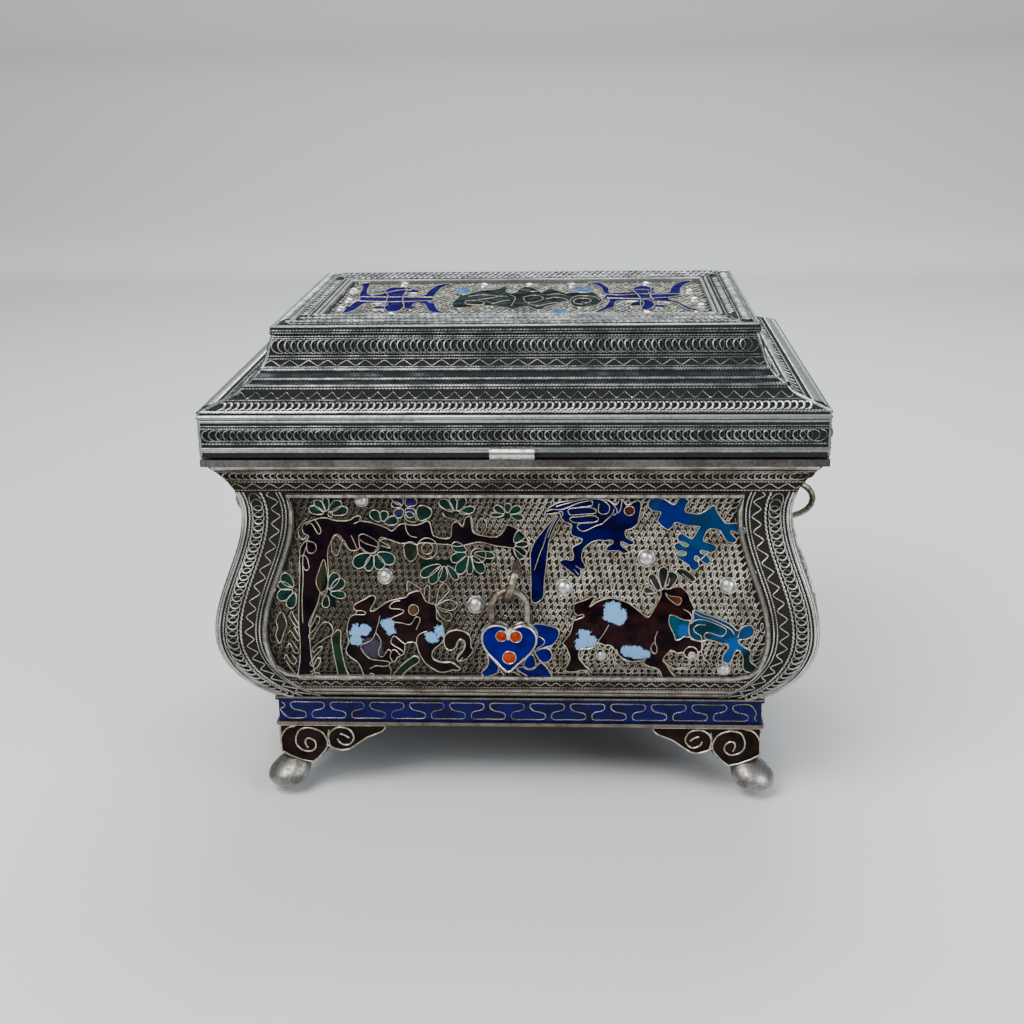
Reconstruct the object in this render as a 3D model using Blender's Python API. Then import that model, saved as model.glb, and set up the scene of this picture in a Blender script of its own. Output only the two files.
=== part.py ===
"""Casket on four feet: hollow ogee body, stepped hinged lid, padlock and side loops.

Metres, +Z up. X runs along the front, Y from the front to the back, and the floor is z = 0.
"""

import math

import bmesh
import bpy
from mathutils import Matrix, Vector

MERGE_DISTANCE = 0.00001
SHARP_ANGLE = math.radians(40.0)

# Clearances: between soldered pieces, and from a wall to what stands on it
SEAM = 0.0001
WALL_GAP = 0.0003

# Lid band, the widest straight part
BAND_HALF_X = 0.0650
BAND_HALF_Y = 0.0500

# Plinth
FOOT_HEIGHT = 0.0155
PLINTH_HEIGHT = 0.0070
PLINTH_WALL = 0.0025
MOULDING_HEIGHT = 0.0008
MOULDING_STEP = 0.0006

# Body wall
BODY_HEIGHT = 0.0568
BELLY_RISE = 0.0189
WAIST_DROP = 0.0119
BODY_BOTTOM_INSET = 0.0105
BODY_BELLY_INSET = 0.0002
BODY_WAIST_INSET = 0.0064
BODY_TOP_INSET = 0.0008
BODY_WALL = 0.0012
BODY_LEVELS = 26

# Rim
RIM_HEIGHT = 0.0015
RIM_OVERHANG = 0.0002
COLLAR_HEIGHT = 0.0015
COLLAR_CLEARANCE = 0.0006
COLLAR_THICKNESS = 0.0008

# Lid; its cove is given in hundredths of its run in and of its rise above the band
LID_GAP = 0.0005
LID_HEIGHT = 0.0231
LID_BAND_HEIGHT = 0.0096
LID_TOP_INSET = 0.0138
LID_WALL = 0.0012
LID_ROOF = 0.0010
LID_COVE = (
    (0.0, 0.0), (21.7, 7.4), (46.7, 16.3), (58.0, 27.4), (69.9, 35.6), (81.2, 48.1),
    (88.4, 61.5), (94.9, 84.4), (100.0, 100.0),
)

# Top frame and sunk panel
TOP_THICKNESS = 0.00165
TOP_OVERHANG = 0.0004
TOP_SIDE_WIDTH = 0.0086
TOP_FRONT_WIDTH = 0.0141
TOP_BACK_WIDTH = 0.0121
TOP_RECESS = 0.0010

# Foot brackets: outline of one wing in hundredths of its length and height
BRACKET_GAP = 0.0003
BRACKET_LENGTH = 0.0241
BRACKET_FLOOR_CLEARANCE = 0.0059
BRACKET_THICKNESS = 0.0014
BRACKET_OUTLINE = (
    (0.0, 0.0), (100.0, 0.0), (100.0, 7.5), (96.3, 17.2), (81.7, 33.3), (72.6, 50.5),
    (64.7, 64.5), (58.1, 67.7), (50.2, 62.4), (44.8, 53.8), (41.1, 69.9), (34.9, 88.2),
    (29.0, 100.0), (19.1, 94.6), (7.9, 82.8), (0.0, 69.9),
)

# Foot pads: radius, height and shift out from the corner of each ring, in hundredths
PAD_RADIUS = 0.0049
PAD_DROP = 0.0009
PAD_SIDES = 14
PAD_RINGS = (
    (46.9, 0.0, -38.8), (79.6, 9.0, -36.7), (95.9, 25.6, -32.7), (100.0, 44.9, -26.5),
    (81.6, 67.9, -10.2), (51.0, 88.5, 12.2), (20.4, 100.0, 26.5),
)

# Loops of round wire; each stands at a height in hundredths of the panels' own
LOOP_SIDES = 8
LOOP_STEPS = 10
SIDE_LOOP_RADIUS = 0.00075
SIDE_LOOP_OUT = 0.0048
SIDE_LOOP_HALF_HEIGHT = 0.00445
SIDE_LOOP_Y = -0.0040
SIDE_LOOP_UP = 67.2
STAPLE_RADIUS = 0.0009
STAPLE_OUT = 0.0038
STAPLE_HALF_HEIGHT = 0.0033
STAPLE_BEND = 0.0030
STAPLE_X = -0.0005
STAPLE_UP = 55.7
STAPLE_LEAN = math.radians(18.0)

# Padlock
PADLOCK_ASIDE = 0.0004
PADLOCK_OUT = 0.0021
PADLOCK_PLAY = 0.0006
PADLOCK_LEAN = math.radians(6.0)
HEART_HALF_WIDTH = 0.00585
HEART_HALF_HEIGHT = 0.0054
HEART_HALF_THICKNESS = 0.0011
HEART_BEVEL = 0.0004
HEART_POINTS = 28
SHACKLE_WIRE_RADIUS = 0.00072
SHACKLE_RADIUS = 0.00378
SHACKLE_RISE = 0.0088

# Hasp knuckle
HASP_HALF_LENGTH = 0.0046
HASP_RADIUS = 0.0014
HASP_X = 0.0002

# Back hinge
HINGE_OUT = 0.0024
HINGE_PIN_RADIUS = 0.0006
PIN_CLEARANCE = 0.0001
KNUCKLE_WALL = 0.0007
KNUCKLE_SIDES = 16
HINGE_HALF_LENGTH = 0.0150
CENTRE_KNUCKLE_HALF = 0.0050
KNUCKLE_GAP = 0.0002
LEAF_GAP = 0.00015
LEAF_THICKNESS = 0.0005
LEAF_EDGE = 0.0002
LID_LEAF_HEIGHT = 0.0065

# Rope frame round each side panel
FRAME_RADIUS = 0.0006
FRAME_SIDES = 6
FRAME_MARGIN = 0.0108
FRAME_RISE = 0.0082
FRAME_DROP = 0.0077
FRAME_CORNER = 0.0060
FRAME_CORNER_STEPS = 3
FRAME_STEPS = 10

# Flat enamel figures
FIGURE_THICKNESS = 0.0003
FIGURE_GAP = 0.00015
FIGURE_ROUNDING_STEPS = 2

# Outlines of the front figures, in hundredths of the panel's half width and of its height
TREE_TRUNK = (
    (-90.2, 5.1), (-87.8, 16.4), (-86.7, 33.5), (-87.3, 49.1), (-85.1, 59.9), (-83.8, 67.0),
    (-79.7, 71.4), (-77.1, 76.0), (-73.1, 74.3), (-74.2, 67.5), (-74.5, 57.5), (-76.9, 45.0),
    (-81.2, 29.3), (-81.9, 14.4), (-82.5, 2.7),
)
TREE_BRANCH = (
    (-79.3, 85.1), (-71.6, 86.6), (-59.6, 86.1), (-52.4, 83.6), (-46.9, 80.9), (-40.6, 84.1),
    (-25.3, 88.8), (-17.5, 86.8), (-8.9, 81.4), (2.6, 77.8), (4.4, 71.9), (-9.6, 74.6),
    (-21.6, 72.6), (-33.4, 74.1), (-45.4, 74.6), (-67.3, 78.0),
)
FAWN = (
    (-66.4, 23.7), (-65.7, 34.7), (-58.7, 38.6), (-64.0, 42.1), (-55.4, 47.4), (-55.7, 41.6),
    (-46.9, 45.2), (-38.2, 49.4), (-30.6, 40.8), (-28.2, 28.6), (-29.7, 19.8), (-32.7, 15.6),
    (-29.7, 10.3), (-22.3, 5.9), (-33.8, 5.4), (-38.4, 17.8), (-48.0, 23.2), (-50.6, 15.2),
    (-55.4, 14.7), (-52.8, 4.4), (-60.7, 3.9), (-65.7, 13.2),
)
STAG = (
    (19.2, 22.7), (22.3, 32.8), (27.3, 37.9), (23.6, 41.1), (30.3, 47.4), (31.4, 42.1),
    (37.6, 46.2), (46.3, 43.8), (52.6, 37.2), (57.0, 45.7), (60.5, 51.1), (66.6, 51.3),
    (72.0, 40.1), (67.5, 37.7), (62.7, 36.2), (62.9, 24.7), (59.4, 14.9), (65.3, 7.8),
    (60.9, 3.9), (52.2, 9.0), (52.0, 13.7), (45.0, 14.9), (38.6, 21.5), (32.5, 21.5),
    (26.8, 18.1), (27.5, 4.9), (23.4, 4.9), (22.3, 17.4),
)
ANTLERS = (
    (57.7, 48.7), (53.3, 48.7), (49.8, 50.9), (54.2, 52.6), (51.8, 57.7), (55.4, 58.9),
    (57.4, 54.3), (57.2, 62.3), (59.8, 62.8), (60.7, 55.7), (63.5, 61.4), (66.4, 59.4),
    (63.1, 53.1), (60.5, 49.4),
)
BIRD = (
    (12.5, 90.0), (21.2, 95.1), (30.6, 96.6), (38.4, 95.6), (44.3, 94.1), (49.3, 95.8),
    (48.7, 87.3), (44.3, 80.4), (46.7, 73.8), (43.9, 68.7), (37.3, 70.7), (37.3, 74.3),
    (31.4, 73.3), (27.1, 67.7), (27.9, 61.4), (23.6, 60.9), (18.8, 64.8), (22.9, 67.2),
    (22.7, 71.6), (25.5, 75.3), (22.7, 80.0), (21.2, 85.1), (16.8, 87.3),
)
BIRD_TAIL = (
    (18.3, 90.0), (16.4, 82.6), (13.7, 72.6), (12.5, 60.4), (11.8, 49.6), (9.0, 44.5),
    (6.3, 47.4), (6.3, 57.9), (7.0, 69.2), (9.8, 77.8), (14.0, 85.6),
)
TWIG = (
    (52.4, 93.9), (55.2, 97.3), (62.5, 94.6), (65.5, 97.3), (67.7, 91.2), (73.2, 90.0),
    (78.0, 93.9), (81.2, 85.1), (86.5, 81.9), (83.2, 79.7), (86.0, 75.6), (81.2, 76.8),
    (77.7, 80.9), (75.3, 74.8), (79.2, 71.9), (75.3, 68.9), (76.0, 64.5), (72.9, 65.0),
    (71.0, 60.6), (67.2, 64.1), (63.8, 67.2), (67.2, 69.9), (63.1, 72.1), (67.2, 74.6),
    (64.6, 78.0), (69.7, 76.8), (71.8, 82.2), (63.5, 84.1), (58.5, 81.4), (56.8, 89.5),
)
LIZARD = (
    (70.7, 33.0), (73.2, 36.9), (78.4, 36.2), (85.4, 32.5), (87.5, 29.8), (90.6, 31.5),
    (94.1, 29.3), (92.3, 26.7), (88.7, 24.4), (92.1, 19.1), (95.0, 10.0), (91.7, 10.0),
    (87.8, 18.1), (85.8, 13.2), (82.8, 13.4), (83.8, 22.0), (80.1, 25.4), (74.7, 26.4),
)
FLOWER = (
    (-6.6, 24.2), (2.2, 29.8), (13.3, 31.5), (17.2, 27.6), (15.7, 22.0), (10.7, 19.6),
    (14.8, 16.6), (14.0, 12.0), (9.0, 10.8), (12.7, 7.6), (13.5, 3.4), (5.7, 2.9),
    (-1.5, 5.4), (-6.3, 7.3), (-8.9, 3.4), (-13.3, 3.9), (-10.9, 10.5), (-10.1, 18.3),
)
LONG_BLADE = (
    (-72.5, 25.9), (-70.3, 29.8), (-68.8, 25.9), (-69.4, 14.4), (-67.9, 3.4), (-71.8, 3.4),
    (-72.7, 14.4),
)
SHORT_BLADE = (
    (-49.4, 3.9), (-45.4, 10.0), (-41.7, 13.4), (-39.3, 12.0), (-41.3, 7.6), (-45.4, 3.9),
)

# Foliage: centre and radius in hundredths as above, first angle and sweep in degrees, number
# of petals. A radius is a share of the panel's height, and across it a share of its width.
FOLIAGE_ROUNDNESS = 0.755
FOLIAGE = {
    "fan_upper_left": (-74.2, 88.3, 9.0, -5.0, 190.0, 6),
    "fan_branch_left": (-52.8, 84.6, 8.1, 20.0, 150.0, 4),
    "blossom": (-43.7, 91.9, 5.6, 0.0, 360.0, 6),
    "fan_branch_middle": (-35.4, 89.0, 5.6, -5.0, 190.0, 4),
    "fan_upper_middle": (-21.8, 89.2, 7.8, -5.0, 190.0, 6),
    "fan_hanging": (-63.1, 75.8, 19.6, -76.0, 66.0, 4),
    "fan_lower_middle": (-30.1, 65.0, 9.8, 175.0, 190.0, 6),
    "fan_dark": (-15.5, 66.5, 8.8, 180.0, 225.0, 6),
    "fan_trunk_left": (-87.8, 49.4, 8.1, 95.0, 170.0, 4),
    "fan_trunk_right": (-74.2, 49.4, 8.3, -85.0, 170.0, 4),
    "fan_upper_right": (-3.0, 87.0, 7.8, -5.0, 190.0, 6),
    "fan_branch_right": (-1.8, 73.6, 8.3, -80.0, 150.0, 5),
}
PETAL_VALLEY = 0.66

# Rosettes on the other three sides, placed as the foliage is
ROSETTE_PETALS = 8
BACK_ROSETTE = (49.4, 26.9)
SIDE_ROSETTE = (31.1, 18.3)

# Outlines of the lid figures, in hundredths of the sunk panel's half width and half depth
LID_BAT = (
    (-90.5, 22.1), (-95.3, 83.0), (-89.8, 87.2), (-86.3, 36.2), (-75.8, 31.9), (-76.5, 66.0),
    (-66.0, 66.0), (-65.6, 31.9), (-54.9, 29.8), (-51.2, 61.7), (-43.3, 87.2), (-43.7, 55.3),
    (-48.1, 14.9), (-53.0, -2.1), (-44.0, -44.7), (-34.7, -74.5), (-46.5, -63.8), (-54.9, -20.4),
    (-64.2, -20.4), (-63.3, -48.9), (-68.8, -59.6), (-74.9, -46.8), (-75.3, -19.6), (-85.6, -19.6),
    (-89.8, -53.2), (-95.8, -72.3), (-94.4, -34.9), (-90.7, -4.3),
)
LID_SWIRL = (
    (-35.3, -44.7), (-36.3, 6.8), (-29.3, 35.7), (-13.7, 63.8), (3.7, 53.2), (20.2, 72.3),
    (34.7, 63.8), (39.5, 24.7), (40.2, -22.1), (36.3, -44.7), (27.0, -46.4), (19.5, -31.5),
    (14.0, -50.6), (3.5, -55.3), (-9.8, -49.4), (-21.6, -44.3),
)

# Heights above the floor
PLINTH_TOP_Z = FOOT_HEIGHT + PLINTH_HEIGHT
BODY_BOTTOM_Z = PLINTH_TOP_Z + SEAM
BODY_TOP_Z = BODY_BOTTOM_Z + BODY_HEIGHT
BELLY_Z = BODY_BOTTOM_Z + BELLY_RISE
WAIST_Z = BODY_TOP_Z - WAIST_DROP
RIM_BOTTOM_Z = BODY_TOP_Z + SEAM
RIM_TOP_Z = RIM_BOTTOM_Z + RIM_HEIGHT
LID_BOTTOM_Z = RIM_TOP_Z + LID_GAP
TOP_BOTTOM_Z = LID_BOTTOM_Z + LID_HEIGHT + SEAM
TOP_Z = TOP_BOTTOM_Z + TOP_THICKNESS
TOP_PANEL_Z = TOP_Z - TOP_RECESS
FRAME_BOTTOM_Z = BODY_BOTTOM_Z + FRAME_RISE
FRAME_TOP_Z = BODY_TOP_Z - FRAME_DROP
HINGE_Z = RIM_TOP_Z + LID_GAP / 2.0

# Half sizes that follow from the band
PLINTH_HALF_X = BAND_HALF_X - BODY_BOTTOM_INSET
PLINTH_HALF_Y = BAND_HALF_Y - BODY_BOTTOM_INSET
TOP_HALF_X = BAND_HALF_X - LID_TOP_INSET + TOP_OVERHANG
TOP_HALF_Y = BAND_HALF_Y - LID_TOP_INSET + TOP_OVERHANG
OPENING_HALF_X = TOP_HALF_X - TOP_SIDE_WIDTH
OPENING_FRONT_Y = TOP_FRONT_WIDTH - TOP_HALF_Y
OPENING_BACK_Y = TOP_HALF_Y - TOP_BACK_WIDTH
HINGE_Y = BAND_HALF_Y + HINGE_OUT

# Each side: half its length, half the depth across it, and its turn about Z
SIDES = {
    "front": (BAND_HALF_X, BAND_HALF_Y, 0.0),
    "right": (BAND_HALF_Y, BAND_HALF_X, math.pi / 2.0),
    "back": (BAND_HALF_X, BAND_HALF_Y, math.pi),
    "left": (BAND_HALF_Y, BAND_HALF_X, -math.pi / 2.0),
}


def add_object(name, verts, faces, smooth=False):
    """Make one closed object from corner points and faces."""
    mesh = bpy.data.meshes.new(name)
    mesh.from_pydata([tuple(point) for point in verts], [], faces)
    shape = bmesh.new()
    shape.from_mesh(mesh)
    bmesh.ops.remove_doubles(shape, verts=shape.verts, dist=MERGE_DISTANCE)
    bmesh.ops.recalc_face_normals(shape, faces=shape.faces)
    wide = [face for face in shape.faces if len(face.verts) > 4]
    bmesh.ops.triangulate(shape, faces=wide)
    shape.to_mesh(mesh)
    shape.free()
    if smooth:
        mesh.shade_smooth()
        mesh.set_sharp_from_angle(angle=SHARP_ANGLE)
    part = bpy.data.objects.new(name, mesh)
    bpy.context.scene.collection.objects.link(part)
    return part


def loft(name, rings, closed, smooth=False):
    """Join a run of equal rings, closed end to end or capped at both ends."""
    count = len(rings[0])
    verts = [point for level in rings for point in level]
    faces = []
    spans = len(rings) if closed else len(rings) - 1
    for i in range(spans):
        low = i * count
        high = ((i + 1) % len(rings)) * count
        for j in range(count):
            k = (j + 1) % count
            faces.append((low + j, low + k, high + k, high + j))
    if not closed:
        last = (len(rings) - 1) * count
        faces.append(tuple(reversed(range(count))))
        faces.append(tuple(range(last, last + count)))
    return add_object(name, verts, faces, smooth)


def rectangle(half_x, front_y, back_y, z):
    """Four corners of a level rectangle, anticlockwise from the front left."""
    return [
        Vector((-half_x, front_y, z)),
        Vector((half_x, front_y, z)),
        Vector((half_x, back_y, z)),
        Vector((-half_x, back_y, z)),
    ]


def band_ring(inset, z):
    """Level rectangle a given distance inside the lid band."""
    half_y = BAND_HALF_Y - inset
    return rectangle(BAND_HALF_X - inset, -half_y, half_y, z)


def body_inset(z):
    """Distance of the ogee wall inside the lid band at a height."""
    if z >= WAIST_Z:
        rise = (z - WAIST_Z) / (BODY_TOP_Z - WAIST_Z)
        return BODY_WAIST_INSET - (BODY_WAIST_INSET - BODY_TOP_INSET) * rise ** 2
    if z >= BELLY_Z:
        fall = (WAIST_Z - z) / (WAIST_Z - BELLY_Z)
        swing = (1.0 + math.cos(math.pi * fall)) / 2.0
        return BODY_BELLY_INSET + (BODY_WAIST_INSET - BODY_BELLY_INSET) * swing
    drop = (BELLY_Z - z) / (BELLY_Z - BODY_BOTTOM_Z)
    return BODY_BELLY_INSET + (BODY_BOTTOM_INSET - BODY_BELLY_INSET) * drop ** 2


def body_levels():
    """Heights at which the wall has an edge."""
    step = (BODY_TOP_Z - BODY_BOTTOM_Z) / BODY_LEVELS
    return [BODY_BOTTOM_Z + step * i for i in range(BODY_LEVELS + 1)]


def wall_inset(z):
    """Inset of the wall as built, straight between two levels."""
    step = (BODY_TOP_Z - BODY_BOTTOM_Z) / BODY_LEVELS
    place = (z - BODY_BOTTOM_Z) / step
    low = max(0, min(int(place), BODY_LEVELS - 1))
    share = place - low
    levels = body_levels()
    return body_inset(levels[low]) * (1.0 - share) + body_inset(levels[low + 1]) * share


def on_side(side, across, z, lift):
    """Point a given lift off one side wall."""
    turn = SIDES[side][2]
    out = SIDES[side][1] - wall_inset(z) + lift
    return Matrix.Rotation(turn, 3, "Z") @ Vector((across, -out, z))


def tube(name, path, normals, radius, sides, closed=False):
    """Sweep a circle along a path; each normal sets the turn of its ring."""
    rings = []
    count = len(path)
    for i, point in enumerate(path):
        before = path[i - 1] if closed or i > 0 else point
        after = path[(i + 1) % count] if closed or i < count - 1 else point
        along = (after - before).normalized()
        across = along.cross(normals[i]).normalized()
        outward = across.cross(along).normalized()
        level = []
        for j in range(sides):
            angle = 2.0 * math.pi * j / sides
            level.append(point + radius * (math.cos(angle) * across + math.sin(angle) * outward))
        rings.append(level)
    return loft(name, rings, closed, smooth=True)


def rounded(outline, parts):
    """Pass a smooth closed curve through the points of an outline."""
    points = []
    count = len(outline)
    for i in range(count):
        a = Vector(outline[i - 1])
        b = Vector(outline[i])
        c = Vector(outline[(i + 1) % count])
        d = Vector(outline[(i + 2) % count])
        for j in range(parts):
            t = j / parts
            points.append(
                0.5 * (
                    2.0 * b
                    + (c - a) * t
                    + (2.0 * a - 5.0 * b + 4.0 * c - d) * t ** 2
                    + (3.0 * b - a - 3.0 * c + d) * t ** 3
                )
            )
    return points


def petals(centre, wide, high, first, sweep, count):
    """Scalloped outline of a fan of petals, or of a full flower, from its two radii."""
    points = []
    whole = sweep >= 360.0
    if not whole:
        points.append(centre)
    for i in range(count):
        for share, reach in ((0.0, PETAL_VALLEY), (0.25, 0.95), (0.5, 1.0), (0.75, 0.95)):
            angle = math.radians(first + sweep * (i + share) / count)
            points.append((
                centre[0] + wide * reach * math.cos(angle),
                centre[1] + high * reach * math.sin(angle),
            ))
    if not whole:
        angle = math.radians(first + sweep)
        points.append((
            centre[0] + wide * PETAL_VALLEY * math.cos(angle),
            centre[1] + high * PETAL_VALLEY * math.sin(angle),
        ))
    return points


def slab(name, shape, bottom, top):
    """Close a flat sheet into a plate between two placing functions."""
    shape.verts.index_update()
    count = len(shape.verts)
    flat = [vert.co.copy() for vert in shape.verts]
    verts = [bottom(point) for point in flat] + [top(point) for point in flat]
    faces = []
    for face in shape.faces:
        corners = [vert.index for vert in face.verts]
        faces.append(tuple(reversed(corners)))
        faces.append(tuple(corner + count for corner in corners))
    for edge in shape.edges:
        if edge.is_boundary:
            loop = edge.link_loops[0]
            a = loop.vert.index
            b = loop.link_loop_next.vert.index
            faces.append((a, b, b + count, a + count))
    shape.free()
    return add_object(name, verts, faces)


def panel_height(up):
    """Height above the floor from hundredths of a side panel's own height."""
    return FRAME_BOTTOM_Z + (FRAME_TOP_Z - FRAME_BOTTOM_Z) * up / 100.0


def on_panel(across, up):
    """Place on the front panel from hundredths of its half width and height."""
    return (BAND_HALF_X - FRAME_MARGIN) * across / 100.0, panel_height(up)


def sheet(points):
    """Flat face in the XZ plane from an outline."""
    shape = bmesh.new()
    corners = [shape.verts.new((point[0], 0.0, point[1])) for point in points]
    shape.faces.new(corners)
    return shape


def wall_figure(name, points, side, layer):
    """Flat figure bent onto one side wall, cut at the wall's own levels."""
    shape = sheet(points)
    for level in body_levels():
        parts = shape.verts[:] + shape.edges[:] + shape.faces[:]
        bmesh.ops.bisect_plane(
            shape, geom=parts, dist=0.000001, plane_co=(0.0, 0.0, level), plane_no=(0.0, 0.0, 1.0)
        )
    low = FIGURE_GAP + layer * (FIGURE_THICKNESS + FIGURE_GAP)
    high = low + FIGURE_THICKNESS
    return slab(
        name,
        shape,
        lambda point: on_side(side, point.x, point.z, low),
        lambda point: on_side(side, point.x, point.z, high),
    )


def lid_figure(name, outline, mirror):
    """Flat figure lying on the sunk top panel."""
    middle = (OPENING_BACK_Y + OPENING_FRONT_Y) / 2.0
    half_depth = (OPENING_BACK_Y - OPENING_FRONT_Y) / 2.0
    points = [
        (mirror * OPENING_HALF_X * x / 100.0, middle + half_depth * y / 100.0)
        for x, y in rounded(outline, FIGURE_ROUNDING_STEPS)
    ]
    low = TOP_PANEL_Z + FIGURE_GAP
    high = low + FIGURE_THICKNESS
    return slab(
        name,
        sheet(points),
        lambda point: Vector((point.x, point.z, low)),
        lambda point: Vector((point.x, point.z, high)),
    )


def build_body():
    """Hollow ogee body with a closed floor."""
    levels = body_levels()
    outer = [band_ring(body_inset(z), z) for z in levels]
    floor = BODY_BOTTOM_Z + BODY_WALL
    heights = [z for z in reversed(levels) if z > floor] + [floor]
    inner = [band_ring(wall_inset(z) + BODY_WALL, z) for z in heights]
    loft("body_shell", outer + inner, False)


def build_rim():
    """Flange round the mouth with a low collar inside it."""
    outer = LID_WALL + COLLAR_CLEARANCE
    inner = outer + COLLAR_THICKNESS
    collar_top = RIM_TOP_Z + COLLAR_HEIGHT
    loft(
        "body_rim",
        [
            band_ring(inner, RIM_BOTTOM_Z),
            band_ring(-RIM_OVERHANG, RIM_BOTTOM_Z),
            band_ring(-RIM_OVERHANG, RIM_TOP_Z),
            band_ring(outer, RIM_TOP_Z),
            band_ring(outer, collar_top),
            band_ring(inner, collar_top),
        ],
        True,
    )


def build_plinth():
    """Rectangular band with a moulding above and below."""
    steps = (
        (PLINTH_WALL, FOOT_HEIGHT),
        (-MOULDING_STEP, FOOT_HEIGHT),
        (-MOULDING_STEP, FOOT_HEIGHT + MOULDING_HEIGHT),
        (0.0, FOOT_HEIGHT + MOULDING_HEIGHT),
        (0.0, PLINTH_TOP_Z - MOULDING_HEIGHT),
        (-MOULDING_STEP, PLINTH_TOP_Z - MOULDING_HEIGHT),
        (-MOULDING_STEP, PLINTH_TOP_Z),
        (PLINTH_WALL, PLINTH_TOP_Z),
    )
    rings = []
    for inset, z in steps:
        half_y = PLINTH_HALF_Y - inset
        rings.append(rectangle(PLINTH_HALF_X - inset, -half_y, half_y, z))
    loft("plinth", rings, True)


def foot_bracket(name, sign_x, sign_y):
    """L-shaped bracket whose two wings meet in a mitre at the corner."""
    top = FOOT_HEIGHT - BRACKET_GAP
    drop = top - BRACKET_FLOOR_CLEARANCE
    count = len(BRACKET_OUTLINE)
    verts = []
    faces = []
    for wing in range(2):
        start = len(verts)
        for depth in (0.0, BRACKET_THICKNESS):
            for u, v in BRACKET_OUTLINE:
                run = depth + (BRACKET_LENGTH - depth) * u / 100.0
                x_in, y_in = (run, depth) if wing == 0 else (depth, run)
                x = sign_x * (PLINTH_HALF_X - x_in)
                y = sign_y * (PLINTH_HALF_Y - y_in)
                verts.append((x, y, top - drop * v / 100.0))
        faces.append(tuple(range(start, start + count)))
        faces.append(tuple(reversed(range(start + count, start + 2 * count))))
        for i in range(start, start + count - 1):
            faces.append((i, i + 1, i + 1 + count, i + count))
    add_object(name, verts, faces)


def foot_pad(name, sign_x, sign_y):
    """Egg-like silver foot splayed out at the corner, flat underneath."""
    top = FOOT_HEIGHT - BRACKET_GAP
    drop = (top - BRACKET_FLOOR_CLEARANCE) * BRACKET_OUTLINE[-1][1] / 100.0
    height = top - drop - PAD_DROP
    rings = []
    for ring_radius, rise, shift in PAD_RINGS:
        radius = PAD_RADIUS * ring_radius / 100.0
        x = sign_x * (PLINTH_HALF_X + PAD_RADIUS * shift / 100.0)
        y = sign_y * (PLINTH_HALF_Y + PAD_RADIUS * shift / 100.0)
        level = []
        for i in range(PAD_SIDES):
            angle = 2.0 * math.pi * i / PAD_SIDES
            level.append(
                Vector((
                    x + radius * math.cos(angle),
                    y + radius * math.sin(angle),
                    height * rise / 100.0,
                ))
            )
        rings.append(level)
    loft(name, rings, False, smooth=True)


def build_feet():
    """Brackets and pads at the four corners."""
    for place, sign_x, sign_y in (
        ("front_left", -1, -1), ("front_right", 1, -1), ("back_left", -1, 1), ("back_right", 1, 1),
    ):
        foot_bracket("foot_bracket_" + place, sign_x, sign_y)
        foot_pad("foot_pad_" + place, sign_x, sign_y)


def half_loop(depth, half_height, reach, top_wall, bottom_wall):
    """D-shaped path as distance out and height about its middle, from the top down."""
    middle = reach - depth
    path = [(top_wall, half_height)]
    for i in range(LOOP_STEPS + 1):
        angle = math.pi / 2.0 - math.pi * i / LOOP_STEPS
        path.append((middle + depth * math.cos(angle), half_height * math.sin(angle)))
    if middle - bottom_wall > WALL_GAP:
        path.append((bottom_wall, -half_height))
    return path


def build_side_loops():
    """Upright silver loops at the middle of the left and right sides."""
    middle = panel_height(SIDE_LOOP_UP)
    reach = BAND_HALF_X + SIDE_LOOP_OUT - SIDE_LOOP_RADIUS
    high = middle + SIDE_LOOP_HALF_HEIGHT
    low = middle - SIDE_LOOP_HALF_HEIGHT
    top_wall = BAND_HALF_X - body_inset(high - SIDE_LOOP_RADIUS) + WALL_GAP
    bottom_wall = BAND_HALF_X - body_inset(low - SIDE_LOOP_RADIUS) + WALL_GAP
    path = half_loop(
        reach - bottom_wall, SIDE_LOOP_HALF_HEIGHT, reach, top_wall, bottom_wall
    )
    for name, sign in (("side_loop_left", -1), ("side_loop_right", 1)):
        points = [Vector((sign * out, SIDE_LOOP_Y, middle + up)) for out, up in path]
        normals = [Vector((0.0, 1.0, 0.0))] * len(points)
        tube(name, points, normals, SIDE_LOOP_RADIUS, LOOP_SIDES)


def build_staple():
    """D-loop on the front that the padlock hangs from, leaning a little."""
    middle = panel_height(STAPLE_UP)
    reach = BAND_HALF_Y + STAPLE_OUT - STAPLE_RADIUS
    high = middle + STAPLE_HALF_HEIGHT
    low = middle - STAPLE_HALF_HEIGHT
    top_wall = BAND_HALF_Y - body_inset(high - STAPLE_RADIUS) + WALL_GAP
    bottom_wall = BAND_HALF_Y - body_inset(low - STAPLE_RADIUS) + WALL_GAP
    path = half_loop(STAPLE_BEND, STAPLE_HALF_HEIGHT, reach, top_wall, bottom_wall)
    lean = Matrix.Rotation(STAPLE_LEAN, 3, "Y")
    centre = Vector((STAPLE_X, 0.0, middle))
    points = [centre + lean @ Vector((0.0, -out, up)) for out, up in path]
    normals = [lean @ Vector((1.0, 0.0, 0.0))] * len(points)
    tube("front_staple", points, normals, STAPLE_RADIUS, LOOP_SIDES)


def on_padlock(across, out, up):
    """Point in the padlock's own frame, which hangs from the staple and leans on the wall."""
    perch = panel_height(STAPLE_UP) - STAPLE_HALF_HEIGHT + STAPLE_RADIUS + PADLOCK_PLAY
    drop = (SHACKLE_RISE + SHACKLE_RADIUS - SHACKLE_WIRE_RADIUS) * math.cos(PADLOCK_LEAN)
    middle = Vector((STAPLE_X - PADLOCK_ASIDE, -BAND_HALF_Y - PADLOCK_OUT, perch - drop))
    lean = Matrix.Rotation(-PADLOCK_LEAN, 3, "X")
    return middle + lean @ Vector((across, -out, up))


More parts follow.
